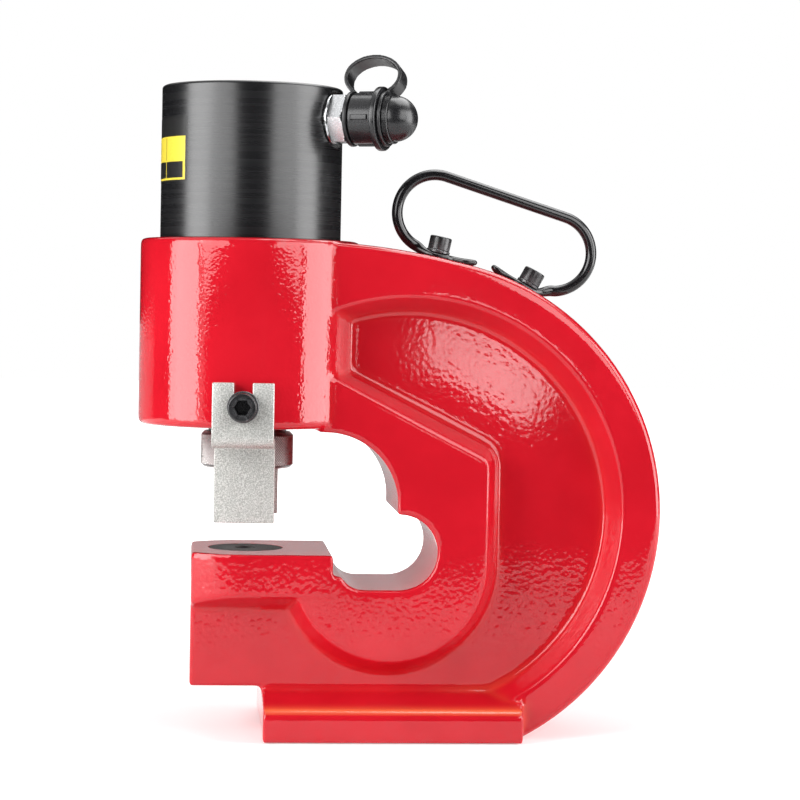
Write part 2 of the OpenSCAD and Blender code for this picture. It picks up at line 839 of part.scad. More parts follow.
module die_set_screw() {
    reach = anvil_front - grub_recess - die_d / 2 - seat_clearance;
    color("black")
        translate([-die_d / 2 - seat_clearance, 0, anvil_h - die_h / 2])
            rotate([0, -90, 0])
                difference() {
                    cylinder(d = grub_d, h = reach);
                    translate([0, 0, reach / 2]) cylinder(d = grub_socket / cos(30), h = reach, $fn = 6);
                }
}

// Stripper plates

// One square bend of the plate, in the quarter that the signs name
module bend(x_side, y_side) {
    reach = bend_r + stripper_t;
    intersection() {
        difference() {
            circle(bend_r + stripper_t / 2);
            circle(bend_r - stripper_t / 2);
        }
        translate([x_side < 0 ? -reach : 0, y_side < 0 ? -reach : 0]) square(reach);
    }
}

// Edge view of a plate: x is the distance from the punch axis and y the height
module stripper_profile() {
    translate([upper_mid - stripper_t / 2, shelf_z + bend_r])
        square([stripper_t, stripper_top_z - shelf_z - bend_r]);
    translate([upper_mid - bend_r, shelf_z + bend_r]) bend(1, -1);
    translate([lower_mid + bend_r, shelf_z - stripper_t / 2])
        square([upper_mid - lower_mid - 2 * bend_r, stripper_t]);
    translate([lower_mid + bend_r, shelf_z - bend_r]) bend(-1, 1);
    translate([lower_mid - stripper_t / 2, stripper_low_z])
        square([stripper_t, shelf_z - bend_r - stripper_low_z]);
}

// A plate on the side away from or towards the viewer, with its open slot
module stripper(side) {
    slot_z = stripper_screw_z - stripper_up;
    rotate([0, 0, -stripper_turn])
        difference() {
            rotate([90, 0, 90 * side])
                linear_extrude(stripper_w, center = true)
                    stripper_profile();
            translate([0, side * upper_mid, slot_z])
                rotate([90, 0, 0])
                    cylinder(d = stripper_slot_w, h = 2 * stripper_t, center = true);
            translate([-stripper_slot_w / 2, side * upper_mid - stripper_t, slot_z])
                cube([stripper_slot_w, 2 * stripper_t, stripper_top_z - slot_z + overrun]);
        }
}

module front_stripper() {
    color("lightgray") stripper(-1);
}

module rear_stripper() {
    color("lightgray") stripper(1);
}

module stripper_screws() {
    color("black")
        for (side = [-1, 1])
            at_stripper(side)
                translate([0, 0, screw_face])
                    socket_screw(stripper_screw_d, screw_face - head_r + stripper_screw_in,
                        stripper_head_d, stripper_head_h);
}

module stripper_washers() {
    color("black")
        for (side = [-1, 1])
            at_stripper(side)
                ring(washer_d, stripper_screw_d + 2 * pass_gap, washer_face, screw_face);
}

// Carrying handle

// Places a child in the handle's own frame: origin on the crown, z away from it
module at_handle() {
    translate([rim_x, 0, rim_center_h])
        rotate([0, crown_tilt, 0])
            translate([handle_shift - handle_mid_x, 0, rim_r])
                rotate([0, handle_tilt, 0])
                    translate([handle_mid_x, 0, 0])
                        children();
}

// One flattened pad, on the surface that it is screwed to
module pad(side) {
    difference() {
        linear_extrude(pad_t) {
            circle(d = pad_w);
            translate([-side * (pad_tip - pad_tip_w / 2), 0]) circle(d = pad_tip_w);
            translate([side > 0 ? pad_tip_w / 2 - pad_tip : -pad_root, -pad_tip_w / 2])
                square([pad_tip + pad_root - pad_tip_w / 2, pad_tip_w]);
        }
        translate([0, 0, -overrun])
            cylinder(d = handle_screw_d + 2 * pass_gap, h = pad_t + 2 * overrun);
    }
}

// The round front end of the handle, from the straight bar to the start of its pad
module handle_end() {
    translate([-handle_mid_x, 0, handle_mid_z])
        rotate([90, 0, 0])
            rotate([0, 0, 90])
                rotate_extrude(angle = 90 + handle_bend)
                    translate([handle_r, 0]) circle(d = handle_d);
}

// The drawn-out neck between a round end and its pad
module handle_neck(side) {
    hull() {
        at_handle()
            translate([side * (handle_mid_x + handle_r * cos(handle_bend)), 0,
                    handle_mid_z - handle_r * sin(handle_bend)])
                rotate([0, side * handle_bend, 0])
                    cylinder(d = handle_d * neck_rod_share, h = slice, center = true, $fn = 32);
        at_handle_seat(side)
            translate([side * (pad_root - slice / 2), 0, pad_t / 2])
                cube([slice, pad_tip_w * neck_pad_share, pad_t * neck_pad_share], center = true);
    }
}

module handle() {
    color("black")
        union() {
            at_handle() {
                translate([0, 0, handle_mid_z + handle_r])
                    rotate([0, 90, 0])
                        cylinder(d = handle_d, h = 2 * handle_mid_x, center = true);
                handle_end();
                mirror([1, 0, 0]) handle_end();
            }
            for (side = [-1, 1]) {
                handle_neck(side);
                at_handle_seat(side) pad(side);
            }
        }
}

module handle_screws() {
    face = pad_t + handle_washer_t + 2 * seat_clearance;
    color("black")
        for (side = [-1, 1])
            at_handle_seat(side)
                translate([0, 0, face])
                    socket_screw(handle_screw_d, face + handle_screw_in, handle_head_d, handle_head_h);
}

module handle_washers() {
    low = pad_t + seat_clearance;
    color("black")
        for (side = [-1, 1])
            at_handle_seat(side)
                ring(handle_washer_d, handle_screw_d + 2 * pass_gap, low, low + handle_washer_t);
}

// Hose coupler, dust cap and strap

module coupler_body() {
    color("silver")
        at_coupler()
            difference() {
                union() {
                    rod(stem_d, hex_s - stem_l, hex_s + overrun);
                    intersection() {
                        translate([0, 0, hex_s])
                            rotate([0, 0, hex_turn])
                                cylinder(d = hex_flats / cos(30), h = hex_l, $fn = 6);
                        translate([0, 0, hex_s])
                            cylinder(r1 = hex_flats / 2 + hex_l / tan(30), r2 = hex_flats / 2, h = hex_l);
                    }
                    rod(neck_d, neck_s - overrun, nipple_s + overrun);
                    rod(nipple_d, nipple_s, nipple_end_s);
                }
                rod(oil_way_d, hex_s - stem_l - overrun, valve_s + overrun);
                rod(valve_d, valve_s, valve_end_s);
                rod(mouth_d, valve_end_s - overrun, nipple_end_s + overrun);
            }
}

module coupler_washer() {
    color("silver")
        at_coupler()
            ring(coupler_washer_d, stem_d + 2 * pass_gap, seat_s + seat_clearance, hex_s - seat_clearance);
}

module valve_poppet() {
    color("silver")
        at_coupler() {
            rod(valve_d - 2 * pass_gap, poppet_s, poppet_s + poppet_h);
            rod(mouth_d - 2 * pass_gap, poppet_s, nipple_end_s - pass_gap);
        }
}

module valve_spring() {
    color("slategray")
        at_coupler()
            wound_wire(valve_mean_d, valve_wire, valve_turns, valve_s + seat_clearance,
                poppet_s - seat_clearance);
}

module dust_cap() {
    color("black")
        at_coupler()
            difference() {
                union() {
                    rod(cap_d, cap_s, cap_flange_s + overrun);
                    for (turn = [0:90:270])
                        rotate([0, 0, turn])
                            translate([0, -cap_rib_w / 2, cap_s + pass_gap])
                                cube([cap_d / 2 + cap_rib_h, cap_rib_w, cap_flange_s - cap_s]);
                    rod(cap_flange_d, cap_flange_s, cap_groove_s);
                    rod(cap_groove_d, cap_flange_s, cap_collar_s + overrun);
                    rod(cap_collar_d, cap_collar_s, cap_dome_s);
                    intersection() {
                        translate([0, 0, cap_dome_s]) sphere(d = cap_dome_d);
                        rod(cap_d, cap_collar_s, cap_dome_s + cap_d);
                    }
                }
                rod(nipple_d + 2 * run_clearance, cap_s - overrun, cap_floor_s);
            }
}

// The strap: a ring round the neck, a ring round the cap and one leaning loop between them
module cap_strap() {
    color("black")
        at_coupler() {
            ring(strap_ring_d, neck_d + 2 * pass_gap, strap_neck_s, strap_neck_s + strap_t);
            ring(strap_ring_d, cap_groove_d + 2 * pass_gap, strap_cap_s, strap_cap_s + strap_t);
            rotate([0, 0, -strap_lean])
                rotate([0, -90, 0])
                    rotate([90, 0, 0])
                        translate([strap_mid_s, strap_mid_r, 0])
                            rotate([0, 0, -strap_dip])
                                rotate_extrude(angle = 180 + 2 * strap_dip)
                                    translate([strap_r - strap_t / 2, -strap_w / 2])
                                        square([strap_t, strap_w]);
        }
}

translate([punch_x, 0, 0]) {
    frame();
    cylinder_body();  // cylinder
    ram();
    piston_seal();
    piston_guide_ring();
    guide_bush();
    rod_wiper();
    spring_seat();
    return_spring();
    punch();
    punch_nut();
    die();
    die_set_screw();
    front_stripper();
    rear_stripper();
    stripper_screws();
    stripper_washers();
    handle();
    handle_screws();
    handle_washers();
    coupler_body();
    coupler_washer();
    valve_poppet();
    valve_spring();
    dust_cap();
    cap_strap();
}
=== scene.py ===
# %% [markdown]
# A hydraulic hole punch: a red cast C-frame that stands on its foot, a black oil cylinder screwed into
# its head, a knurled nut that holds the punch, a die in the anvil, two bent stripper plates, a wire
# carrying handle and a hose coupler under a rubber cap. The solids come packed from the CAD model. This
# lesson gives them their finished skins, one piece at a time, and then lights and frames them.

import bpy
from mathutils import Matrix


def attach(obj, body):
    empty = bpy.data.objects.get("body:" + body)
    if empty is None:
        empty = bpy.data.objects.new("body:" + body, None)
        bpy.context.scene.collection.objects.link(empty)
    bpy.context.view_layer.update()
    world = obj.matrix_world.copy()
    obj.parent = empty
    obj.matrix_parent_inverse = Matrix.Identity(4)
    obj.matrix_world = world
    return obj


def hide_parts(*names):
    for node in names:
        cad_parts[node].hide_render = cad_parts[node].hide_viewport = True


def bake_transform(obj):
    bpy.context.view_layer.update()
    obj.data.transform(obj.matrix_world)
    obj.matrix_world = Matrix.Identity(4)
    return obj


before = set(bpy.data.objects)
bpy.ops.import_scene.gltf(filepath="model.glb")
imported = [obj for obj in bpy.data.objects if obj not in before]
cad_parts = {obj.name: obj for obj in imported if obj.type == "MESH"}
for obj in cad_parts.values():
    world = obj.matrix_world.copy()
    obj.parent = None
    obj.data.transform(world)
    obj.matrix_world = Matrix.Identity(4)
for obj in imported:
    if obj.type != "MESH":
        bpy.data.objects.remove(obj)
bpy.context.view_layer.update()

# %% The modules that the lesson uses
import math

import bmesh
import bpy
import numpy as np
from mathutils import Matrix, Vector, noise

MM = 0.001
PUNCH_X = -84.75 * MM
print("nodes in the frame:", len(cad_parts))

# %% [markdown]
# The camera comes first, because every later choice is judged through it. It stands about 1.4 m in front
# of the tool, a little above the anvil, turned 5 degrees to the right and tipped 2 degrees down. A real
# camera is hardly ever level, so this one also has a degree of roll. Setting the three directions of its
# matrix by hand is clearer than chaining Euler angles.

# %% Camera
YAW, PITCH, ROLL = (math.radians(angle) for angle in (5.135, 2.29, 1.111))
LENS, SENSOR = 107.405, 36.0
CAMERA_PLACE = Vector((PUNCH_X - 36.606 * MM, -1411.213 * MM, 250.786 * MM))


def camera_matrix(place):
    forward = Vector((math.sin(YAW) * math.cos(PITCH), math.cos(YAW) * math.cos(PITCH), -math.sin(PITCH)))
    level = forward.cross(Vector((0, 0, 1))).normalized()
    upright = level.cross(forward)
    right = math.cos(ROLL) * level + math.sin(ROLL) * upright
    up = -math.sin(ROLL) * level + math.cos(ROLL) * upright
    axes = Matrix((right, up, -forward)).transposed()
    return Matrix.Translation(place) @ axes.to_4x4()


def added(name, data):
    """A new object in the scene."""
    thing = bpy.data.objects.new(name, data)
    bpy.context.scene.collection.objects.link(thing)
    return thing


camera = added("camera", bpy.data.cameras.new("camera"))
camera.data.lens, camera.data.sensor_width = LENS, SENSOR
camera.matrix_world = camera_matrix(CAMERA_PLACE)
bpy.context.scene.camera = camera
print("camera at", [round(v, 3) for v in camera.matrix_world.translation])

# %% [markdown]
# Most pieces here are round: turned, drilled or moulded about an axis. They could be made with the Screw
# modifier or a spun bmesh profile. A stack of rings is just as short and does more: when a row's radius is
# a function of the angle, the same helper also makes hexagons, ribs and knurling.

# %% Helper: a piece made of stacked rings
def new_piece(name, points, faces):
    mesh = bpy.data.meshes.new(name)
    mesh.from_pydata([tuple(p) for p in points], [], faces)
    shape = bmesh.new()
    shape.from_mesh(mesh)
    bmesh.ops.recalc_face_normals(shape, faces=shape.faces)
    shape.to_mesh(mesh)
    shape.free()
    return added(name, mesh)


def skin(rings, count, closed=False):
    """Faces over rings of points. Closed joins the last ring to the first; otherwise each end gets a cap."""
    pairs = [(k, k + 1) for k in range(rings - 1)] + ([(rings - 1, 0)] if closed else [])
    sides = [(i, (i + 1) % count) for i in range(count)]
    faces = [(a * count + i, a * count + j, b * count + j, b * count + i) for a, b in pairs for i, j in sides]
    if not closed:
        faces += [tuple(range(count))[::-1], tuple((rings - 1) * count + i for i in range(count))]
    return faces


def ring_stack(name, rows, place, count=128, closed=False):
    """Skins rings about the local Z axis. A row is (radius, height) in mm."""
    angles = np.arange(count) * 2 * math.pi / count
    points = []
    for radius, height in rows:
        reach = radius(angles) if callable(radius) else np.full(count, float(radius))
        points += [(r * math.cos(a) * MM, r * math.sin(a) * MM, height * MM) for r, a in zip(reach, angles)]
    piece = new_piece(name, points, skin(len(rows), count, closed))
    piece.data.transform(place)
    return piece


def six_sided(flats, turned=0.0):
    """Radius of a hexagon across its flats. One corner is turned that many degrees from the local X axis."""
    return lambda angles: flats / 2 / np.cos((angles - math.radians(turned)) % (math.pi / 3) - math.pi / 6)


def at(x=0.0, y=0.0, z=0.0):
    return Matrix.Translation(Vector((x, y, z)) * MM)


def turn(degrees, axis):
    return Matrix.Rotation(math.radians(degrees), 4, axis)


ON_PUNCH_AXIS = Matrix.Translation((PUNCH_X, 0, 0))
print("helpers ready")

# %% [markdown]
# Every finished piece needs the same closing steps: smooth shading that stays crisp over sharp edges, a
# material, the body that it moves with, and the plain solid that it stands for. One function does these,
# so no piece can miss one.

# %% Helper: closing steps of a piece
SHARP = 32


def dress(piece, material, slot, body, *nodes, angle=SHARP):
    piece.data.shade_smooth()
    piece.data.set_sharp_from_angle(angle=math.radians(angle))
    piece.data.materials.clear()
    piece.data.materials.append(material)
    if body:
        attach(piece, body)
    if nodes:
        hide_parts(*nodes)
    print(piece.name, "has", len(piece.data.polygons), "faces")
    return piece


def with_modifier(piece, kind, **settings):
    """Adds a modifier, keeps its result as the mesh and removes it again."""
    modifier = piece.modifiers.new(kind.lower(), kind)
    for key, value in settings.items():
        setattr(modifier, key, value)
    result = bpy.data.meshes.new_from_object(piece.evaluated_get(bpy.context.evaluated_depsgraph_get()))
    piece.modifiers.clear()
    piece.data = result
    return piece


def joined(name, *pieces):
    """One new piece with the meshes of several, which are removed."""
    shape = bmesh.new()
    for piece in pieces:
        shape.from_mesh(piece.data)
        bpy.data.objects.remove(piece)
    mesh = bpy.data.meshes.new(name)
    shape.to_mesh(mesh)
    shape.free()
    return added(name, mesh)


print("closing steps ready")

# %% [markdown]
# Finishes. Four effects turn up in more than one material, so each is a node group: the lumpy skin of a
# painted casting, fine grain from blasting or moulding, the lines that a lathe leaves, and bare bright
# edges. A group gives out only heights and masks. The shader itself stays in each material.

# %% Helpers: nodes and groups
def add_node(tree, kind, inputs=None, **settings):
    made = tree.nodes.new(kind)
    for key, value in settings.items():
        setattr(made, key, value)
    for key, value in (inputs or {}).items():
        if isinstance(value, bpy.types.NodeSocket):
            tree.links.new(value, made.inputs[key])
        else:
            made.inputs[key].default_value = value
    return made


def math_node(tree, operation, first, second=0.0):
    return add_node(tree, "ShaderNodeMath", {0: first, 1: second}, operation=operation).outputs[0]


def ramp(tree, value, low, high, out_low=0.0, out_high=1.0):
    inputs = {"Value": value, "From Min": low, "From Max": high, "To Min": out_low, "To Max": out_high}
    return add_node(tree, "ShaderNodeMapRange", inputs, interpolation_type="SMOOTHSTEP").outputs["Result"]


def new_group(name, inputs, outputs):
    tree = bpy.data.node_groups.new(name, "ShaderNodeTree")
    for label, value in inputs.items():
        socket = tree.interface.new_socket(label, in_out="INPUT", socket_type="NodeSocketFloat")
        socket.default_value = value
    for label in outputs:
        tree.interface.new_socket(label, in_out="OUTPUT", socket_type="NodeSocketFloat")
    given = tree.nodes.new("NodeGroupInput").outputs
    wanted = tree.nodes.new("NodeGroupOutput").inputs
    place = tree.nodes.new("ShaderNodeTexCoord").outputs["Object"]
    return tree, given, wanted, place


print("node helpers ready")

# %% Group: skin of a painted casting
def noise_height(tree, place, scale, detail=2.0, rough=0.5):
    inputs = {"Vector": place, "Scale": scale, "Detail": detail, "Roughness": rough}
    return add_node(tree, "ShaderNodeTexNoise", inputs).outputs["Fac"]


def build_cast_skin():
    tree, given, wanted, place = new_group("cast_skin", {"Peel": 300.0, "Spatter": 0.3}, ["Height", "Mottle"])
    peel = noise_height(tree, place, given["Peel"], 0.6)
    cells = add_node(
        tree,
        "ShaderNodeTexVoronoi",
        {"Vector": place, "Scale": math_node(tree, "MULTIPLY", given["Peel"], 0.55), "Smoothness": 0.6},
        feature="SMOOTH_F1",
    ).outputs["Distance"]
    drops = math_node(tree, "MULTIPLY", ramp(tree, cells, 0.1, 0.45, 1.0, 0.0), given["Spatter"])
    tree.links.new(math_node(tree, "ADD", peel, drops), wanted["Height"])
    tree.links.new(noise_height(tree, place, 22.0, 3.0), wanted["Mottle"])
    return tree


CAST_SKIN = build_cast_skin()
print("group", CAST_SKIN.name)

# %% Group: fine grain
def build_fine_grain():
    tree, given, wanted, place = new_group("fine_grain", {"Grain": 1800.0}, ["Height", "Speckle"])
    grain = noise_height(tree, place, given["Grain"], 3.0, 0.65)
    coarse = noise_height(tree, place, math_node(tree, "MULTIPLY", given["Grain"], 0.35), 2.0)
    tree.links.new(math_node(tree, "ADD", grain, math_node(tree, "MULTIPLY", coarse, 0.6)), wanted["Height"])
    tree.links.new(ramp(tree, grain, 0.38, 0.66), wanted["Speckle"])
    return tree


FINE_GRAIN = build_fine_grain()
print("group", FINE_GRAIN.name)

# %% Group: lathe lines about the punch axis
def build_lathe_lines():
    tree, given, wanted, place = new_group("lathe_lines", {"Lines": 2500.0}, ["Height", "Streaks"])
    xyz = add_node(tree, "ShaderNodeSeparateXYZ", {"Vector": place}).outputs
    sideways = math_node(tree, "SUBTRACT", xyz["X"], PUNCH_X)
    squares = [math_node(tree, "MULTIPLY", side, side) for side in (sideways, xyz["Y"])]
    reach = math_node(tree, "SQRT", math_node(tree, "ADD", *squares))
    step = math_node(tree, "MULTIPLY", math_node(tree, "ADD", xyz["Z"], reach), given["Lines"])

    def stripes(place):
        inputs = {"W": place, "Scale": 1.0, "Detail": 2.0}
        return add_node(tree, "ShaderNodeTexNoise", inputs, noise_dimensions="1D").outputs["Fac"]

    tree.links.new(stripes(step), wanted["Height"])
    wide = stripes(math_node(tree, "MULTIPLY", step, 0.09))
    tree.links.new(ramp(tree, wide, 0.35, 0.65), wanted["Streaks"])
    return tree


LATHE_LINES = build_lathe_lines()
print("group", LATHE_LINES.name)

# %% Group: bright edges
def build_bare_edges():
    tree, given, wanted, place = new_group("bare_edges", {"Start": 0.52, "Full": 0.6}, ["Mask"])
    pointed = tree.nodes.new("ShaderNodeNewGeometry").outputs["Pointiness"]
    broken = ramp(tree, noise_height(tree, place, 700.0, 3.0), 0.3, 0.6, 0.35, 1.0)
    edge = ramp(tree, pointed, given["Start"], given["Full"])
    tree.links.new(math_node(tree, "MULTIPLY", edge, broken), wanted["Mask"])
    return tree


BARE_EDGES = build_bare_edges()
print("group", BARE_EDGES.name)

# %% Helpers: materials
def new_material(name, roughness, metallic=0.0, **plain):
    """A Principled material; plain holds the inputs that are the same all over."""
    material = bpy.data.materials.new(name)
    material.use_nodes = True
    tree = material.node_tree
    shader = tree.nodes["Principled BSDF"]
    shader.inputs["Roughness"].default_value = roughness
    shader.inputs["Metallic"].default_value = metallic
    for label, value in plain.items():
        shader.inputs[label.replace("_", " ").title().replace("Ior", "IOR")].default_value = value
    return material, tree, shader


def grouped(tree, group, inputs):
    made = tree.nodes.new("ShaderNodeGroup")
    made.node_tree = group
    for label, value in inputs.items():
        made.inputs[label].default_value = value
    return made.outputs


def blend_colours(tree, share, first, second):
    made = add_node(tree, "ShaderNodeMix", None, data_type="RGBA")
    tree.links.new(share, made.inputs["Factor"])
    for socket, colour in (("A", first), ("B", second)):
        target = next(s for s in made.inputs if s.name == socket and s.type == "RGBA")
        if isinstance(colour, bpy.types.NodeSocket):
            tree.links.new(colour, target)
        else:
            target.default_value = (*colour, 1.0)
    return next(s for s in made.outputs if s.type == "RGBA")


def emboss(tree, shader, height, depth):
    bump = add_node(tree, "ShaderNodeBump", {"Height": height, "Distance": depth, "Strength": 1.0})
    tree.links.new(bump.outputs["Normal"], shader.inputs["Normal"])


print("material helpers ready")

# %% [markdown]
# Red enamel. The casting is sprayed with thick gloss paint over a rough skin, so its reflections are
# clean in the middle and break up into drops at their borders. The drops are finer on the head than
# elsewhere. In hollows, and in one line along the foot's ledge, red light would bounce between the walls
# and warm to orange; here that bounce light is painted into the base colour as an orange tint. One bump
# for the whole casting would be simpler, but it would look the same everywhere. So the mesh carries three
# values, made further down: the coarse drops, the fine drops and the painted bounce light.

# %% Material: red enamel
# The second colour is painted bounce light: the orange tint given to hollows and the foot's ledge.
RED, BOUNCE_LIGHT_ORANGE, DEEP_RED = (0.64, 0.011, 0.023), (0.9, 0.17, 0.065), (0.57, 0.008, 0.018)


def point_value(tree, name):
    return add_node(tree, "ShaderNodeAttribute", None, attribute_name=name).outputs["Fac"]


def build_red_enamel():
    material, tree, shader = new_material("red_enamel", 0.06)
    coarse = grouped(tree, CAST_SKIN, {"Peel": 400.0, "Spatter": 0.35})
    fine = grouped(tree, CAST_SKIN, {"Peel": 640.0, "Spatter": 0.35})
    mottled = blend_colours(tree, ramp(tree, coarse["Mottle"], 0.3, 0.7), RED, DEEP_RED)
    # Painted bounce light: the base colour turns orange where the mesh value says, in hollows and along the
    # foot's ledge.
    colour = blend_colours(tree, point_value(tree, "painted_bounce_light"), mottled, BOUNCE_LIGHT_ORANGE)
    tree.links.new(colour, shader.inputs["Base Color"])
    tree.links.new(ramp(tree, coarse["Mottle"], 0.3, 0.75, 0.04, 0.09), shader.inputs["Roughness"])
    low_drops = math_node(tree, "MULTIPLY", coarse["Height"], point_value(tree, "coarse_lumps"))
    head_drops = math_node(tree, "MULTIPLY", fine["Height"], point_value(tree, "fine_lumps"))
    emboss(tree, shader, math_node(tree, "ADD", low_drops, head_drops), 0.25 * MM)
    return material


RED_ENAMEL = build_red_enamel()
print("material", RED_ENAMEL.name)

# %% [markdown]
# Black finishes. The cylinder is blackened steel with faint lathe lines, satin enough to spread each
# softbox into a band. The handle is dipped in gloss paint. Screws are blackened and rub bright on their
# edges. The cap is moulded plastic and its strap is rubber.

# %% Materials: blacks
BLACK, WORN_STEEL = (0.01, 0.01, 0.011), (0.28, 0.28, 0.29)


def build_blackened_cylinder():
    material, tree, shader = new_material("blackened_cylinder", 0.27, specular_ior_level=0.56)
    lines = grouped(tree, LATHE_LINES, {"Lines": 2600.0})
    grain = grouped(tree, FINE_GRAIN, {"Grain": 1500.0})
    colour = blend_colours(tree, lines["Streaks"], (0.0065, 0.0065, 0.0075), (0.0075, 0.0075, 0.0085))
    tree.links.new(colour, shader.inputs["Base Color"])
    tree.links.new(ramp(tree, lines["Streaks"], 0.0, 1.0, 0.26, 0.29), shader.inputs["Roughness"])
    both = math_node(tree, "ADD", lines["Height"], math_node(tree, "MULTIPLY", grain["Height"], 0.35))
    emboss(tree, shader, both, 0.0012 * MM)
    return material


def build_black(name, roughness, grain_scale, depth, bare=0.0):
    material, tree, shader = new_material(name, roughness)
    grain = grouped(tree, FINE_GRAIN, {"Grain": grain_scale})
    colour = blend_colours(tree, grain["Speckle"], BLACK, (0.015, 0.015, 0.017))
    if bare:
        mask = math_node(tree, "MULTIPLY", grouped(tree, BARE_EDGES, {})["Mask"], bare)
        colour = blend_colours(tree, mask, colour, WORN_STEEL)
        tree.links.new(math_node(tree, "MULTIPLY", mask, 0.8), shader.inputs["Metallic"])
    tree.links.new(colour, shader.inputs["Base Color"])
    low, high = 0.85 * roughness, min(1.15 * roughness, 1.0)
    tree.links.new(ramp(tree, grain["Speckle"], 0.0, 1.0, low, high), shader.inputs["Roughness"])
    emboss(tree, shader, grain["Height"], depth)
    return material


CYLINDER_BLACK = build_blackened_cylinder()
HANDLE_BLACK = build_black("handle_black", 0.12, 500.0, 0.002 * MM, 0.12)
SCREW_BLACK = build_black("screw_black", 0.26, 1500.0, 0.006 * MM, 0.6)
CAP_BLACK = build_black("cap_black", 0.28, 1700.0, 0.002 * MM)
STRAP_BLACK = build_black("strap_black", 0.34, 900.0, 0.008 * MM)
SEAL_BLACK = build_black("seal_black", 0.5, 1200.0, 0.01 * MM)
print("six black materials")

# %% [markdown]
# Bare metals. The stripper plates are blasted and galvanised, so they sparkle with a grain about half a
# millimetre across. The nut is oiled steel whose knurl is cut into the mesh. The die and punch are dark
# hardened steel, turned and lightly ground. The hexagon and washers are bright zinc.

# %% Materials: metals
# The dark colour that the nut's knurl grooves are mixed towards, most at their bottoms.
KNURL_GROOVE_DARK = (0.05, 0.045, 0.045)


def build_metal(
    name, colour, dark, roughness, grain_scale, depth, lines=0.0, edges=0.0, metallic=1.0, grooves=0.0
):
    material, tree, shader = new_material(name, roughness, metallic)
    grain = grouped(tree, FINE_GRAIN, {"Grain": grain_scale})
    shown = blend_colours(tree, grain["Speckle"], dark, colour)
    height = grain["Height"]
    if edges:
        mask = math_node(tree, "MULTIPLY", grouped(tree, BARE_EDGES, {})["Mask"], edges)
        shown = blend_colours(tree, mask, shown, [min(1.3 * c, 0.9) for c in colour])
    if grooves:
        # The knurl's grooves are coloured darker, most at their bottoms.
        mask = math_node(tree, "MULTIPLY", point_value(tree, "groove"), grooves)
        shown = blend_colours(tree, mask, shown, KNURL_GROOVE_DARK)
    if lines:
        marks = grouped(tree, LATHE_LINES, {"Lines": lines})
        height = math_node(tree, "ADD", math_node(tree, "MULTIPLY", height, 0.5), marks["Height"])
    tree.links.new(shown, shader.inputs["Base Color"])
    low, high = 0.8 * roughness, 1.2 * roughness
    tree.links.new(ramp(tree, grain["Speckle"], 0.0, 1.0, high, low), shader.inputs["Roughness"])
    emboss(tree, shader, height, depth)
    return material


BLASTED = build_metal(
    "blasted_zinc", (0.7, 0.7, 0.675), (0.32, 0.32, 0.3), 0.5, 1400.0, 0.05 * MM, edges=0.5, metallic=0.6
)
KNURLED = build_metal(
    "knurled_steel", (0.54, 0.505, 0.495), (0.41, 0.385, 0.375), 0.34, 1300.0, 0.01 * MM,
    edges=0.5, grooves=0.9,
)
TOOL_STEEL = build_metal(
    "tool_steel", (0.16, 0.16, 0.16), (0.09, 0.09, 0.09), 0.34, 1600.0, 0.006 * MM, lines=3000.0, edges=0.4
)
GROUND = build_metal("ground_steel", (0.55, 0.55, 0.55), (0.42, 0.42, 0.42), 0.22, 2200.0, 0.004 * MM, 3500.0)
ZINC = build_metal("bright_zinc", (0.88, 0.89, 0.9), (0.72, 0.73, 0.75), 0.22, 1200.0, 0.006 * MM, edges=0.3)
SPRING = build_metal("spring_steel", (0.2, 0.2, 0.21), (0.11, 0.11, 0.12), 0.35, 1500.0, 0.01 * MM)
BRONZE = build_metal("bronze", (0.62, 0.36, 0.14), (0.45, 0.25, 0.09), 0.3, 1800.0, 0.006 * MM, 2600.0)
print("seven metals")

# %% Material: guide ring and label films
def build_film(name, colour, shade_colour, roughness):
    material, tree, shader = new_material(name, roughness, coat_weight=0.25, coat_roughness=0.12)
    grain = grouped(tree, FINE_GRAIN, {"Grain": 900.0})
    tree.links.new(blend_colours(tree, grain["Speckle"], colour, shade_colour), shader.inputs["Base Color"])
    gloss = ramp(tree, grain["Speckle"], 0.0, 1.0, 0.9 * roughness, roughness)
    tree.links.new(gloss, shader.inputs["Roughness"])
    emboss(tree, shader, grain["Height"], 0.003 * MM)
    return material


GUIDE_BROWN = build_film("guide_brown", (0.42, 0.2, 0.07), (0.36, 0.17, 0.06), 0.5)
LABEL_YELLOW = build_film("label_yellow", (0.85, 0.68, 0.06), (0.8, 0.63, 0.05), 0.35)
LABEL_BLACK = build_film("label_black", (0.012, 0.012, 0.012), (0.018, 0.018, 0.018), 0.32)
print("films ready")

# %% [markdown]
# The casting. The CAD solid has the right shape but knife-sharp edges, and no real casting has those. A
# Bevel modifier would struggle with its triangulated faces. Instead the mesh is rebuilt from small
# voxels, which joins everything into one even skin, and then smoothed: outer corners for a few rounds,
# hollow corners for many more, because sand cores leave generous fillets. Machined holes must stay crisp,
# so they are filled before the rebuild and cut again after it.

# %% Casting: fill the machined holes
VOXEL = 1.3
# Place, radius, low end and high end: die pocket, slug chute, seat of the guide bush, set screw.
HOLES = [
    (ON_PUNCH_AXIS, 22.05, 80.5, 105.5),
    (ON_PUNCH_AXIS, 9.0, 27.0, 80.5),
    (ON_PUNCH_AXIS, 28.05, 178.5, 196.5),
    (ON_PUNCH_AXIS @ at(0, 0, 93) @ turn(-90, "Y"), 4.05, 20.0, 32.0),
]


def plug(radius, low, high, place, count):
    return ring_stack("plug", [(radius, low), (radius, high)], place, count)


solid = added("solid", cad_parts["frame"].data.copy())
fills = [plug(radius + 1.0, low, high, place, 48) for place, radius, low, high in HOLES]
casting = joined("casting", solid, *fills)
shape = bmesh.new()
shape.from_mesh(casting.data)
bmesh.ops.remove_doubles(shape, verts=shape.verts, dist=0.001 * MM)
shape.to_mesh(casting.data)
shape.free()
print("casting starts from", len(casting.data.polygons), "triangles")

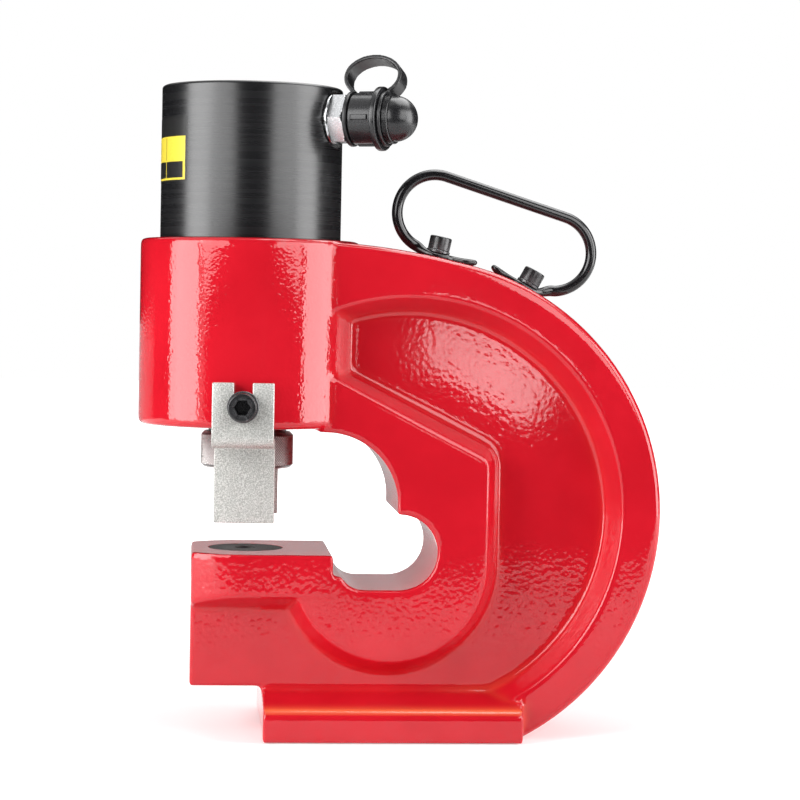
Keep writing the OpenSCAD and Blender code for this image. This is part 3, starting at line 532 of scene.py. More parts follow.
# %% Casting: rebuild and smooth
with_modifier(casting, "REMESH", mode="VOXEL", voxel_size=VOXEL * MM)


def read_points(mesh):
    flat = np.empty(len(mesh.vertices) * 3)
    mesh.vertices.foreach_get("co", flat)
    return flat.reshape(-1, 3)


def read_normals(mesh):
    flat = np.empty(len(mesh.vertices) * 3)
    mesh.vertex_normals.foreach_get("vector", flat)
    return flat.reshape(-1, 3)


def read_edges(mesh):
    flat = np.empty(len(mesh.edges) * 2, dtype=np.int32)
    mesh.edges.foreach_get("vertices", flat)
    return flat.reshape(-1, 2)


def neighbour_mean(values, edges, valence):
    total = np.zeros_like(values)
    for column in range(values.shape[1]):
        total[:, column] = np.bincount(edges[:, 0], values[edges[:, 1], column], len(values))
        total[:, column] += np.bincount(edges[:, 1], values[edges[:, 0], column], len(values))
    return total / valence[:, None]


def smooth_casting(mesh, all_rounds, hollow_rounds):
    points, edges = read_points(mesh), read_edges(mesh)
    valence = np.bincount(edges.ravel(), minlength=len(points)).astype(float)
    for step in range(all_rounds + hollow_rounds):
        pull = neighbour_mean(points, edges, valence) - points
        if step >= all_rounds:
            if (step - all_rounds) % 5 == 0:
                mesh.vertices.foreach_set("co", points.ravel())
                mesh.update()
                normals = read_normals(mesh)
            outward = np.sum(pull * normals, axis=1)
            soft = neighbour_mean(outward[:, None], edges, valence)[:, 0]
            pull *= np.clip(soft / (0.01 * MM), 0.0, 1.0)[:, None]
        points += 0.6 * pull
    mesh.vertices.foreach_set("co", points.ravel())
    mesh.update()


smooth_casting(casting.data, 2, 5)
print("casting skin has", len(casting.data.polygons), "faces")

# %% [markdown]
# A cast skin is never quite flat. A smooth three-dimensional noise moves each point by a few hundredths
# of a millimetre, most on the head and round the throat, least on the broad web. That is too little to
# see as a shape, but it makes the borders of the reflections wander as they do on the real thing.

# %% Casting: lumps
def fade(values, start, full):
    """0 up to start, 1 beyond full and even between them. Both are in mm, and full may be the lower one."""
    return np.clip((values / MM - start) / (full - start), 0, 1)


def cast_lumps(points, normals):
    """How rough the skin is at each point, from 0 to 1: in coarse drops, and in the fine ones of the head."""
    radius = np.hypot(points[:, 0] - PUNCH_X, points[:, 1])
    head = fade(radius, 75, 63) * fade(points[:, 2], 165, 175)
    low = fade(points[:, 2], 115, 85) * fade(points[:, 2], 35, 55)
    facing = 0.15 + 0.85 * np.abs(normals[:, 1])
    return (0.14 + 0.33 * low) * facing * (1 - head), 0.32 * head


def sway(points, size, amount):
    return np.array([noise.noise(Vector(p) / (size * MM)) for p in points]) * amount * MM


points, normals = read_points(casting.data), read_normals(casting.data)
coarse, fine = cast_lumps(points, normals)
shift = (coarse + 1.2 * fine) * (sway(points, 9.0, 0.07) + sway(points, 4.5, 0.03))
casting.data.vertices.foreach_set("co", (points + normals * shift[:, None]).ravel())
casting.data.update()
print("lumps up to", round(float(np.abs(shift).max()) / MM, 3), "mm")

# %% Casting: cut the machined holes
cutters = [plug(radius, low - 0.02, high + 3.0, place, 96) for place, radius, low, high in HOLES]
cutter = joined("cutter", *cutters)
with_modifier(casting, "BOOLEAN", operation="DIFFERENCE", object=cutter, solver="EXACT", use_self=True)
bpy.data.objects.remove(cutter)
print("casting with holes has", len(casting.data.polygons), "faces")

# %% Casting: values for the paint
def mark_points(mesh, name, values):
    layer = mesh.attributes.new(name, "FLOAT", "POINT")
    layer.data.foreach_set("value", values.astype(np.float32))


def hollowness(mesh, rounds):
    """How hollow the skin is round each point, from 0 to 1."""
    points, edges, normals = read_points(mesh), read_edges(mesh), read_normals(mesh)
    valence = np.maximum(np.bincount(edges.ravel(), minlength=len(points)).astype(float), 1)
    pull = neighbour_mean(points, edges, valence) - points
    depth = np.sum(pull * normals, axis=1)[:, None]
    for _ in range(rounds):
        depth = neighbour_mean(depth, edges, valence)
    return np.clip(depth[:, 0] / (0.05 * MM), 0, 1)


# Painted bounce light: an orange tint in the paint's colour, faint in every hollow, stronger in hollows near
# the floor towards the back of the frame, and strong in a line along the front of the foot's ledge.
hollow = hollowness(casting.data, 1)
points, normals = read_points(casting.data), read_normals(casting.data)
near_floor = fade(points[:, 2], 45, 25)
upward = np.clip((normals[:, 2] - 0.5) / 0.3, 0, 1)
ledge = fade(np.abs(points[:, 1]), 42, 59) ** 4 * upward * near_floor
behind = fade(points[:, 0], 20, 50)
mark_points(casting.data, "painted_bounce_light", np.clip(hollow * (0.04 + 0.16 * near_floor * behind) + 0.95 * ledge, 0, 1))
for name, values in zip(("coarse_lumps", "fine_lumps"), cast_lumps(points, normals)):
    mark_points(casting.data, name, values)
dress(casting, RED_ENAMEL, "red_enamel", "frame", "frame", angle=40)
print("hollow share", round(float(hollow.mean()), 3))

# %% [markdown]
# The oil cylinder is turned from bar: a smooth black wall, a small round on the top edge, and a spot face
# milled into the wall where the coupler seals. The rings follow the turned profile, bore included, and a
# Boolean cuts the flat seat.

# %% Oil cylinder
SEGMENTS = 256
HEAD_TOP, CYLINDER_TOP, CYLINDER_R, EDGE = 287.0, 376.0, 53.0, 2.0
COUPLER_Z = 357.5
ON_COUPLER = ON_PUNCH_AXIS @ at(z=COUPLER_Z) @ turn(-25, "Z") @ turn(90, "Y") @ at(z=CYLINDER_R)


def rounded(radius, height, size, start, stop, steps=6):
    """Points of a rounded profile corner about a centre, between two angles in degrees."""
    angles = np.radians(np.linspace(start, stop, steps + 1))
    return [(radius + size * math.cos(a), height + size * math.sin(a)) for a in angles]


wall = [(40.0, 348.0), (40.0, 222.0), (47.0, 222.0), (47.0, HEAD_TOP), (CYLINDER_R - 0.4, HEAD_TOP)]
wall += [(CYLINDER_R, HEAD_TOP + 0.4)]
wall += rounded(CYLINDER_R - EDGE, CYLINDER_TOP - EDGE, EDGE, 0, 90)
wall += [(30.0, CYLINDER_TOP)]
oil_cylinder = ring_stack("oil_cylinder", wall, ON_PUNCH_AXIS, SEGMENTS)
seat = ring_stack("seat", [(17.0, -3.0), (17.0, 6.0)], ON_COUPLER, 96)
with_modifier(oil_cylinder, "BOOLEAN", operation="DIFFERENCE", object=seat, solver="EXACT")
bpy.data.objects.remove(seat)
dress(oil_cylinder, CYLINDER_BLACK, "black_enamel", "frame", "cylinder")

# %% [markdown]
# A printed plate wraps the far side of the cylinder. Here it stays blank: a black film with a yellow table
# whose cells are empty. Each layer is its own thin curved sheet, a few hundredths of a millimetre proud
# of the one below, so the edges of the films catch light as real stickers do.

# %% Blank plate
PLATE_LOW, PLATE_HIGH = 319.0, 356.0


def film(name, lift, side_a, side_b, low, high):
    """A thin curved sheet on the cylinder, between two angles from its far side and two heights."""
    angles = np.radians(180 + np.linspace(side_a, side_b, 2 + int(abs(side_b - side_a) / 2)))
    outline = [(low, lift), (high, lift), (high, lift - 0.06), (low, lift - 0.06)]
    points = [
        (PUNCH_X + (CYLINDER_R + up) * MM * math.cos(a), (CYLINDER_R + up) * MM * math.sin(a), z * MM)
        for a in angles
        for z, up in outline
    ]
    return new_piece(name, points, skin(len(angles), 4))


plate = film("plate_base", 0.07, -44, 44, PLATE_LOW, PLATE_HIGH)
table = film("plate_table", 0.11, -42.5, 42.5, PLATE_LOW + 1.0, PLATE_HIGH - 11.0)
edges = [-41.0, -20.5, 0.0, 20.5, 41.0]
bottom, middle, top = PLATE_LOW + 2.2, PLATE_LOW + 11.5, PLATE_HIGH - 11.8
cells = [film("cell", 0.15, a + 0.5, b - 0.5, bottom, middle) for a, b in zip(edges, edges[1:])]
rules = [film("rule", 0.15, a - 0.3, a + 0.3, PLATE_LOW + 12.6, top) for a in edges[1:-1]]
print_black = joined("plate_cells", *cells, *rules)
for piece, material in ((plate, LABEL_BLACK), (table, LABEL_YELLOW), (print_black, LABEL_BLACK)):
    dress(piece, material, "black_enamel", "frame")

# %% [markdown]
# The knurled nut holds the punch on the ram. Its grip is a diamond knurl: two sets of helical grooves that
# cross and leave rows of small pyramids. Bump mapping would look flat along the outline, so the pyramids
# are real: each ring's radius follows two triangle waves, and the lower of them wins.

# %% Knurled nut
NUT_R, NUT_LOW, NUT_HIGH, BEVEL = 27.25, 153.5, 174.5, 2.0
KNURLS, KNURL_DEPTH, KNURL_STEPS = 104, 0.55, 6


def knurl(height):
    rise = height * KNURLS / NUT_R

    def radius(angles):
        phases = [(angles * KNURLS + sign * rise) / (2 * math.pi) for sign in (1, -1)]
        return NUT_R - KNURL_DEPTH * np.maximum(*[np.abs(phase % 1.0 - 0.5) * 2 for phase in phases])

    return radius


pitch = 2 * math.pi * NUT_R / KNURLS
grip_low, grip_high = NUT_LOW + BEVEL, NUT_HIGH - BEVEL
rows = [(12.3, NUT_LOW), (NUT_R - BEVEL, NUT_LOW), (NUT_R - KNURL_DEPTH, grip_low - 0.5)]
rows += [(knurl(z), z) for z in np.arange(grip_low, grip_high, pitch / KNURL_STEPS)]
rows += [(NUT_R - KNURL_DEPTH, grip_high + 0.5), (NUT_R - BEVEL, NUT_HIGH), (23.05, NUT_HIGH)]
rows += [(23.05, 159.5), (12.3, 159.5)]
nut = ring_stack("knurled_nut", rows, ON_PUNCH_AXIS, KNURLS * KNURL_STEPS, closed=True)
reach = np.hypot(read_points(nut.data)[:, 0] - PUNCH_X, read_points(nut.data)[:, 1]) / MM
gripped = (reach > NUT_R - KNURL_DEPTH - 0.05) & (reach < NUT_R + 0.05)
mark_points(nut.data, "groove", np.where(gripped, np.clip((NUT_R - reach) / KNURL_DEPTH, 0, 1) ** 2, 0.0))
dress(nut, KNURLED, "knurled_steel", "punch_nut", "punch_nut", angle=30)

# %% [markdown]
# Punch, die and set screw are plain turned tools. Their edges are lightly broken, because a sharp modelled
# edge never catches a highlight.

# %% Punch, die and set screw
punch_rows = rounded(5.2, 125.5, 0.5, -90, 0, 3) + [(5.7, 138.5), (12.0, 147.5), (12.0, 159.6)]
punch_rows += [(17.7, 159.6), (18.0, 159.9), (18.0, 165.1), (17.7, 165.4)]
dress(ring_stack("punch_tool", punch_rows, ON_PUNCH_AXIS, 96), TOOL_STEEL, "tool_steel", "ram", "punch")
die_rows = [(8.0, 80.5), (22.0, 80.5), (22.0, 104.9), (21.4, 105.5), (17.2, 105.5), (17.0, 105.3)]
die_rows += [(16.7, 105.3), (16.5, 105.5), (6.5, 105.5), (6.0, 105.1), (6.0, 99.5), (8.0, 99.5)]
die_ring = ring_stack("die_ring", die_rows, ON_PUNCH_AXIS, 192, closed=True)
dress(die_ring, TOOL_STEEL, "tool_steel", "frame", "die")
grub_place = ON_PUNCH_AXIS @ at(-22.05, 0, 93) @ turn(-90, "Y")
hex_key = six_sided(4.0)
grub_rows = [(3.2, 0.0), (4.0, 0.8), (4.0, 8.3), (3.4, 8.95)]
grub_rows += [(lambda a: 1.1 * hex_key(a), 8.95), (hex_key, 8.6), (hex_key, 4.5)]
set_screw = ring_stack("set_screw", grub_rows, grub_place, 96)
dress(set_screw, SCREW_BLACK, "black_steel", "frame", "die_set_screw")

# %% [markdown]
# The stripper plates keep the work from lifting with the punch. Each is a strip of steel with two square
# bends and an open slot for its screw. The slotted leg is cut as one flat outline and the bent rest is
# swept behind it. They share the points where they meet, so a Bevel modifier can then round every long
# edge of the joined plate.

# %% Stripper plates
PLATE_W, PLATE_T, BEND_R = 35.0, 4.5, 5.0
UPPER, LOWER, SHELF, PLATE_TOP, PLATE_BOTTOM = 66.8, 34.0, 170.0, 205.0, 123.0
SLOT_W, SLOT_Z = 10.6, 188.5
ON_PLATES = ON_PUNCH_AXIS @ turn(-3.7, "Z")


def bend(distance, height, start, stop, side):
    """A quarter of the middle line about a centre: (distance from the punch axis, height, way out)."""
    ways = [(math.cos(a), math.sin(a)) for a in np.radians(np.linspace(start, stop, 13))]
    return [(distance + BEND_R * c, height + BEND_R * s, side * c, side * s) for c, s in ways]


def plate_path():
    """Middle line of the bent part, from the slotted leg down."""
    outer = bend(UPPER - BEND_R, SHELF + BEND_R, 0, -90, 1)
    inner = bend(LOWER + BEND_R, SHELF - BEND_R, 90, 180, -1)
    return outer + inner + [(LOWER, PLATE_BOTTOM, 1.0, 0.0)]


def stripper_plate(name, side):
    half = PLATE_W / 2
    corner = [(-half, SHELF + BEND_R), (half, SHELF + BEND_R), (half, PLATE_TOP), (SLOT_W / 2, PLATE_TOP)]
    arc = rounded(0.0, SLOT_Z, SLOT_W / 2, 0, -180, 24)
    outline = corner + arc + [(-SLOT_W / 2, PLATE_TOP), (-half, PLATE_TOP)]
    count = len(outline)
    points = [(x, UPPER + face * PLATE_T / 2, z) for face in (1, -1) for x, z in outline]
    faces = [tuple(range(count)), tuple(range(2 * count - 1, count - 1, -1))]
    faces += [(i, (i + 1) % count, count + (i + 1) % count, count + i) for i in range(1, count)]
    path = plate_path()
    first = len(points)
    for distance, height, out_y, out_z in path:
        for x, face in ((-half, 1), (half, 1), (half, -1), (-half, -1)):
            points.append((x, distance + face * out_y * PLATE_T / 2, height + face * out_z * PLATE_T / 2))
    *swept, _, end = skin(len(path), 4)
    faces += [tuple(first + i for i in face) for face in (*swept, end)]
    plate = new_piece(name, [(x * MM, side * y * MM, z * MM) for x, y, z in points], faces)
    shape = bmesh.new()
    shape.from_mesh(plate.data)
    bmesh.ops.remove_doubles(shape, verts=shape.verts, dist=0.01 * MM)
    bmesh.ops.recalc_face_normals(shape, faces=shape.faces)
    shape.to_mesh(plate.data)
    shape.free()
    sharp = math.radians(40)
    with_modifier(plate, "BEVEL", width=0.6 * MM, segments=3, limit_method="ANGLE", angle_limit=sharp)
    plate.data.transform(ON_PLATES)
    return dress(plate, BLASTED, "blasted_steel", name, name, angle=45)


for name, side in (("front_stripper", -1), ("rear_stripper", 1)):
    plate = stripper_plate(name, side)
    plate.name = name.replace("stripper", "plate")

# %% [markdown]
# Socket screws and washers. A socket head is a short turned cylinder with a hexagon let into its top. The
# ring helper walks over the rim, changes from a circle to a hexagon, and goes down into the socket.

# %% Socket screws and washers
def socket_screw(name, place, shank, length, head, height, node):
    key = six_sided(head / 2)
    rows = [(shank / 2 - 0.6, -length), (shank / 2, -length + 0.8), (shank / 2, 0.0), (head / 2 - 0.3, 0.0)]
    rows += [(head / 2, 0.3), (head / 2, height - 0.9)]
    rows += rounded(head / 2 - 0.9, height - 0.9, 0.9, 15, 90, 4)
    rows += [(lambda a: 1.1 * key(a), height), (key, height - 0.5), (key, height / 2)]
    dress(ring_stack(name, rows, place, 96), SCREW_BLACK, "black_steel", "frame", node)


def washer(name, place, outer, inner, low, high, node):
    rows = [(inner / 2, low), (outer / 2 - 0.2, low), (outer / 2, low + 0.2), (outer / 2, high - 0.3)]
    rows += [(outer / 2 - 0.3, high), (inner / 2 + 0.2, high), (inner / 2, high - 0.2)]
    dress(ring_stack(name, rows, place, 96, closed=True), SCREW_BLACK, "black_steel", "frame", node)


PLATE_SCREW_Z, PLATE_FACE, HEAD_SEAT = 191.5, 69.1, 70.7
for name, side in (("front", -1), ("rear", 1)):
    place = ON_PLATES @ at(z=PLATE_SCREW_Z) @ turn(-90 * side, "X")
    socket_screw(name + "_plate_screw", place @ at(z=HEAD_SEAT), 10.0, 20.4, 16.0, 10.0, "stripper_screws")
    washer(name + "_plate_washer", place, 18.0, 10.6, PLATE_FACE, HEAD_SEAT, "stripper_washers")

# %% [markdown]
# The carrying handle is a loop of round wire. Its ends are forged flat into pads, and a screw holds each
# pad down on the crown. It could be a curve with a round bevel, but a bevel can't go from round to flat.
# So a section is carried along a path: its half width and half height change on the way, and it gets
# squarer where the wire is flattened.

# %% Carrying handle
RIM_X, RIM_Z, RIM_R, CROWN_R, TILT = 93.0, 130.5, 147.5, 400.0, 14.8
LOOP_R, LOOP_X, LOOP_Z, WIRE = 22.5, 37.5, 25.7, 3.2
SHIFT, SPACING, LOOP_TILT = 7.0, 56.0, 2.6
ON_CROWN = ON_PUNCH_AXIS @ at(RIM_X, 0, RIM_Z) @ turn(TILT, "Y") @ at(z=RIM_R)
ON_LOOP = at(SHIFT - LOOP_X) @ turn(LOOP_TILT, "Y") @ at(LOOP_X)


def seat_on(side):
    """Place of a pad's screw on the crown: origin on the surface, local Z away from it."""
    radius = CROWN_R if side < 0 else RIM_R
    arc = side * SPACING / 2 + SHIFT
    return at(z=-radius) @ turn(math.degrees(arc / radius), "Y") @ at(z=radius)


def handle_path():
    """(x, z, half width, half height, squareness) along the handle, from the front tip to the back tip."""
    def pad(side):
        stations = [(24.0, 1.6, 1.6, 0.8, 1.0), (23.0, 1.3, 3.6, 1.5, 1.2), (20.0, 0.6, 4.5, 2.0, 1.4)]
        stations += [(14.0, 0.1, 4.7, 2.0, 1.4), (9.0, 0.0, 5.6, 2.0, 1.5), (6.0, 0.0, 7.4, 2.0, 1.5)]
        stations += [(2.5, 0.0, 8.0, 2.0, 1.5), (-2.5, 0.0, 8.0, 2.0, 1.5), (-5.5, 0.4, 6.9, 2.1, 1.4)]
        stations += [(-9.0, 1.7 + 0.5 * side, 4.8, 2.6, 1.2)]
        out = []
        for along, lift, wide, high, square in stations:
            spot = seat_on(side) @ Vector((-side * along * MM, 0, (2.0 + lift) * MM))
            out.append((spot.x / MM, spot.z / MM, wide, high, square))
        return out

    def wire(x, z):
        spot = ON_LOOP @ Vector((x * MM, 0, z * MM))
        return (spot.x / MM, spot.z / MM, WIRE, WIRE, 1.0)

    def loop(side, start, stop, steps):
        angles = np.radians(np.linspace(start, stop, steps))
        return [wire(side * LOOP_X + LOOP_R * math.cos(a), LOOP_Z + LOOP_R * math.sin(a)) for a in angles]

    bar = [wire(x, LOOP_Z + LOOP_R) for x in (-24.0, -12.0, 0.0, 12.0, 24.0)]
    return pad(-1) + loop(-1, 260, 90, 18) + bar + loop(1, 90, -78, 18) + pad(1)[::-1]


def smooth_line(stations, per_gap=4):
    """Catmull-Rom points through the stations."""
    p = np.array(stations)
    p = np.vstack([2 * p[0] - p[1], p, 2 * p[-1] - p[-2]])
    out = []
    for i in range(1, len(p) - 2):
        for t in np.arange(per_gap) / per_gap:
            a, b, c, d = p[i - 1], p[i], p[i + 1], p[i + 2]
            curve = (2 * a - 5 * b + 4 * c - d) * t**2 + (3 * b - a - 3 * c + d) * t**3
            out.append(0.5 * (2 * b + (c - a) * t + curve))
    return np.array(out + [p[-2]])


def swept_handle(name, count=40):
    line = smooth_line(handle_path())
    ahead = np.gradient(line[:, :2], axis=0)
    ahead /= np.linalg.norm(ahead, axis=1)[:, None]
    angles = np.arange(count) * 2 * math.pi / count
    points = []
    for (x, z, wide, high, square), (ax, az) in zip(line, ahead):
        power = 1.0 / max(square, 0.5)
        for a in angles:
            across = wide * math.copysign(abs(math.cos(a)) ** power, math.cos(a))
            up = high * math.copysign(abs(math.sin(a)) ** power, math.sin(a))
            points.append(((x - az * up) * MM, across * MM, (z + ax * up) * MM))
    piece = new_piece(name, points, skin(len(line), count))
    piece.data.transform(ON_CROWN)
    return piece


dress(swept_handle("carrying_handle"), HANDLE_BLACK, "black_enamel", "frame", "handle", angle=60)

# %% Handle screws and washers
for name, side in (("front", -1), ("back", 1)):
    place = ON_CROWN @ seat_on(side)
    washer(name + "_handle_washer", place, 14.0, 8.6, 4.05, 5.65, "handle_washers")
    socket_screw(name + "_handle_screw", place @ at(z=5.7), 8.0, 19.7, 13.0, 8.0, "handle_screws")

# %% [markdown]
# The hose coupler screws into the cylinder: a stem, a bright hexagon for the spanner, a neck, and a nipple
# with a sprung poppet that the cap keeps clean. The hexagon's corners are turned off at thirty degrees, as
# on every bought nut, which gives the curved bright edges that make it look like metal.

# %% Hose coupler
def hexagon(height, low, high, flats):
    """A hexagon whose corners are turned off at both ends."""
    full = six_sided(flats, 30)
    end = min(height - low, high - height)
    return lambda angles: np.minimum(full(angles), flats / 2 + end / math.tan(math.radians(30)))


rows = [(2.5, -13.0), (7.6, -13.0), (8.3, -12.3), (8.3, -1.0)]
HEX_FLATS, HEX_LOW, HEX_HIGH = 27.0, -1.0, 9.0
hex_steps = (-1.0, -0.6, -0.2, 0.2, 0.6, 1.0, 7.0, 7.4, 7.8, 8.2, 8.6, 9.0)
rows += [(hexagon(s, HEX_LOW, HEX_HIGH, HEX_FLATS), s) for s in hex_steps]
rows += [(10.0, 9.0), (10.0, 11.8), (11.4, 11.8), (12.0, 12.4), (12.0, 25.4), (11.1, 26.3), (4.9, 26.3)]
rows += [(4.5, 25.9), (4.5, 23.3), (6.0, 23.3), (6.0, 6.3), (2.5, 6.3)]
dress(ring_stack("coupler", rows, ON_COUPLER, 192, closed=True), ZINC, "zinc", "frame", "coupler_body")
seal_rows = [(8.6, -2.95), (14.3, -2.95), (14.5, -2.7), (14.5, -1.3), (14.3, -1.05), (8.6, -1.05)]
coupler_seal = ring_stack("coupler_seal", seal_rows, ON_COUPLER, 96, closed=True)
dress(coupler_seal, ZINC, "zinc", "frame", "coupler_washer")
poppet_rows = [(5.7, 19.0), (5.7, 23.0), (4.2, 23.0), (4.2, 25.4), (3.6, 26.0)]
poppet = ring_stack("poppet", poppet_rows, ON_COUPLER, 64)
dress(poppet, GROUND, "ground_steel", "valve_poppet", "valve_poppet")

# %% [markdown]
# The dust cap is moulded plastic: a ribbed cup over the nipple, a flange to pull it by, a groove for the
# strap, a collar with fine rings and a domed end. The ribs fade out at both ends, so their height depends
# on the angle and on the distance along the cap.

# %% Dust cap
RIB_HALF, RIB_HIGH, CUP_R = 1.5, 0.9, 15.0


def ribbed(share):
    def radius(angles):
        near = np.abs((angles + math.pi / 4) % (math.pi / 2) - math.pi / 4) * CUP_R
        rib = np.clip((RIB_HALF - near) / 0.35, 0.0, 1.0)
        return CUP_R + RIB_HIGH * share * rib * rib * (3 - 2 * rib)

    return radius


rows = [(12.05, 26.6), (12.05, 12.6), (12.5, 12.1), (14.5, 12.1), (CUP_R, 12.6), (CUP_R, 13.4)]
rib_steps = ((0.0, 14.0), (0.6, 14.3), (1.0, 14.8), (1.0, 23.9), (0.6, 24.4), (0.0, 24.7))
rows += [(ribbed(share), s) for share, s in rib_steps]
rows += [(CUP_R, 26.2), (CUP_R + 0.4, 26.6)]
rows += rounded(17.7, 27.4, 0.8, -90, 0, 4) + rounded(17.7, 29.2, 0.8, 0, 90, 4)
rows += [(12.9, 30.0), (12.5, 30.4), (12.5, 32.8)]
for s in np.arange(32.8, 36.0, 0.55):
    rows += [(14.2, s), (14.5, s + 0.14), (14.5, s + 0.3), (14.2, s + 0.44)]
rows += [(13.7, 36.2)] + rounded(0.0, 36.2, 13.25, 0, 86, 20)
rubber_cap = ring_stack("rubber_cap", rows, ON_COUPLER, 256)
dress(rubber_cap, CAP_BLACK, "black_plastic", "dust_cap", "dust_cap", angle=28)

# %% [markdown]
# A rubber strap ties the cap to the coupler: a ring round the neck, a ring in the cap's groove, and one
# bowed band between them. Moulded rubber has no sharp inner corners, so the three parts are joined by a
# fine voxel rebuild and smoothed.

# %% Cap strap
STRAP_T, STRAP_W, STRAP_R, STRAP_RISE, LEAN = 2.2, 12.0, 16.5, 12.2, 19.0
NECK_S, CAP_S, RING_R = 9.3, 30.3, 16.0
half_span = (CAP_S - NECK_S) / 2
dip = math.acos(half_span / STRAP_R)
bow_s, bow_r = NECK_S + STRAP_T / 2 + half_span, 15.25 + STRAP_RISE * math.sin(dip)


def bowed_band(name, steps=64):
    section = [(u * STRAP_T / 2, v * STRAP_W / 2) for u, v in ((-1, -1), (1, -1), (1, 1), (-1, 1))]
    points = []
    for a in np.linspace(-dip, math.pi + dip, steps):
        for out, across in section:
            rise, along = (STRAP_RISE + out) * math.sin(a), (STRAP_R + out) * math.cos(a)
            points.append((-(bow_r + rise) * MM, -across * MM, (bow_s + along) * MM))
    band = new_piece(name, points, skin(steps, 4))
    band.data.transform(ON_COUPLER @ turn(-LEAN, "Z"))
    return band


def strap_ring(inner, low):
    rows = [(inner, low), (RING_R, low), (RING_R, low + STRAP_T), (inner, low + STRAP_T)]
    return ring_stack("ring", rows, ON_COUPLER, 96, closed=True)


strap = joined("rubber_strap", bowed_band("band"), strap_ring(10.3, NECK_S), strap_ring(12.8, CAP_S))
with_modifier(strap, "REMESH", mode="VOXEL", voxel_size=0.45 * MM)
with_modifier(strap, "SMOOTH", factor=0.5, iterations=4)
dress(strap, STRAP_BLACK, "strap_rubber", None, "cap_strap", angle=60)
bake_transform(strap)

# %% [markdown]
# Springs are wound wire. Both are hidden inside, but they are still real: a round section carried up a
# helix, with the ends closed and ground flat. A spring joins a fixed seat to a moving piece.

# %% Springs
def wound_spring(name, place, mean_r, wire_r, turns, low, high, count=10, per_turn=36):
    """A wire wound about the local Z axis between two heights, with one closed turn at each end."""
    points, total = [], int(turns * per_turn)
    for i in range(total + 1):
        turned = i / per_turn
        share = np.clip((turned - 0.75) / (turns - 1.5), 0, 1)
        z = low + wire_r + share * (high - low - 2 * wire_r)
        a = 2 * math.pi * turned
        for k in range(count):
            b = 2 * math.pi * k / count
            lift = np.clip(z + wire_r * math.sin(b), low, high)
            reach = mean_r + wire_r * math.cos(b)
            points.append((reach * math.cos(a) * MM, reach * math.sin(a) * MM, lift * MM))
    spring = new_piece(name, points, skin(total + 1, count))
    spring.data.transform(place)
    return spring


def hang(name, node, place, mean_r, wire_r, turns, low, high):
    """A spring between the frame and a body that moves."""
    spring = wound_spring(name, place, mean_r, wire_r, turns, low, high)
    dress(spring, SPRING, "spring_steel", None, node, angle=60)
    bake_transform(spring)


hang("ram_spring", "return_spring", ON_PUNCH_AXIS, 31.5, 3.5, 8, 199.8, 316.7)
hang("poppet_spring", "valve_spring", ON_COUPLER, 4.8, 0.6, 5, 6.35, 18.95)

# %% [markdown]
# The pieces inside the head keep their CAD shapes, which are plain turned rings, and only get a finish.

# %% Inner pieces
INNER = {
    "ram": TOOL_STEEL,
    "piston_seal": SEAL_BLACK,
    "piston_guide_ring": GUIDE_BROWN,
    "guide_bush": BRONZE,
    "rod_wiper": SEAL_BLACK,
    "spring_seat": GROUND,
}
for name, material in INNER.items():
    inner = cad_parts[name]
    inner.data.materials.clear()
    inner.data.materials.append(material)
print("inner pieces:", ", ".join(INNER))

# %% [markdown]
# The stage. A white floor and a white world make the plain background. Both look white to the camera and
# in reflections, while the light that falls on the tool comes mostly from the lamps. Cards that only
# reflections see stand round the tool. Dark ones in front and at the sides keep the red deep. Behind it, a
# low grey one tones down the flat tops, and a high dark one keeps white fringes off the round edges. A
# studio does the same with flags on stands.

# %% Floor and world
def seen_directly(tree):
    """1 for rays from the camera, from reflections and through glass, else 0."""
    path = tree.nodes.new("ShaderNodeLightPath").outputs
    seen = math_node(tree, "MAXIMUM", path["Is Camera Ray"], path["Is Glossy Ray"])
    return math_node(tree, "MAXIMUM", seen, path["Is Transmission Ray"])


def sheet(name, width, depth, place, material):
    half_w, half_d = width / 2, depth / 2
    corners = [(-half_w, -half_d, 0), (half_w, -half_d, 0), (half_w, half_d, 0), (-half_w, half_d, 0)]
    piece = new_piece(name, corners, [(0, 1, 2, 3)])
    piece.data.transform(place)
    piece.data.materials.append(material)
    return piece


def build_floor():
    """White paper. Far from the tool it glows, so that it runs into the white world with no horizon."""
    material, tree, shader = new_material("floor_white", 1.0, specular_ior_level=0.0)
    shader.inputs["Base Color"].default_value = (0.9, 0.9, 0.9, 1.0)
    shader.inputs["Emission Color"].default_value = (1.0, 1.0, 1.0, 1.0)
    place = tree.nodes.new("ShaderNodeTexCoord").outputs["Object"]
    distance = add_node(tree, "ShaderNodeVectorMath", {0: place}, operation="LENGTH").outputs["Value"]
    glow = ramp(tree, distance, 0.25, 1.2, 0.35, 1.0)
    tree.links.new(math_node(tree, "MULTIPLY", seen_directly(tree), glow), shader.inputs["Emission Strength"])
    return material


def build_world():
    world = bpy.data.worlds.new("studio")
    world.use_nodes = True
    tree = world.node_tree
    light = tree.nodes["Background"]
    light.inputs["Color"].default_value = (1.0, 1.0, 1.0, 1.0)
    tree.links.new(ramp(tree, seen_directly(tree), 0.0, 1.0, 0.4, 1.0), light.inputs["Strength"])
    bpy.context.scene.world = world


sheet("floor", 12.0, 12.0, Matrix.Translation((0, 0, -0.0005)), build_floor())
build_world()
print("floor and world ready")

# %% Cards
def card(name, shade, width, tall, place, facing):
    """An upright card that only reflections see. Facing is its turn about Z, with 0 across the view."""
    material, tree, shader = new_material(name, 1.0, specular_ior_level=0.0)
    shader.inputs["Base Color"].default_value = (shade, shade, shade, 1.0)
    stand = Matrix.Translation(place) @ turn(facing, "Z") @ turn(90, "X")
    piece = sheet(name, width, tall, stand, material)
    for kind in ("camera", "diffuse", "shadow", "transmission", "volume_scatter"):
        setattr(piece, "visible_" + kind, False)


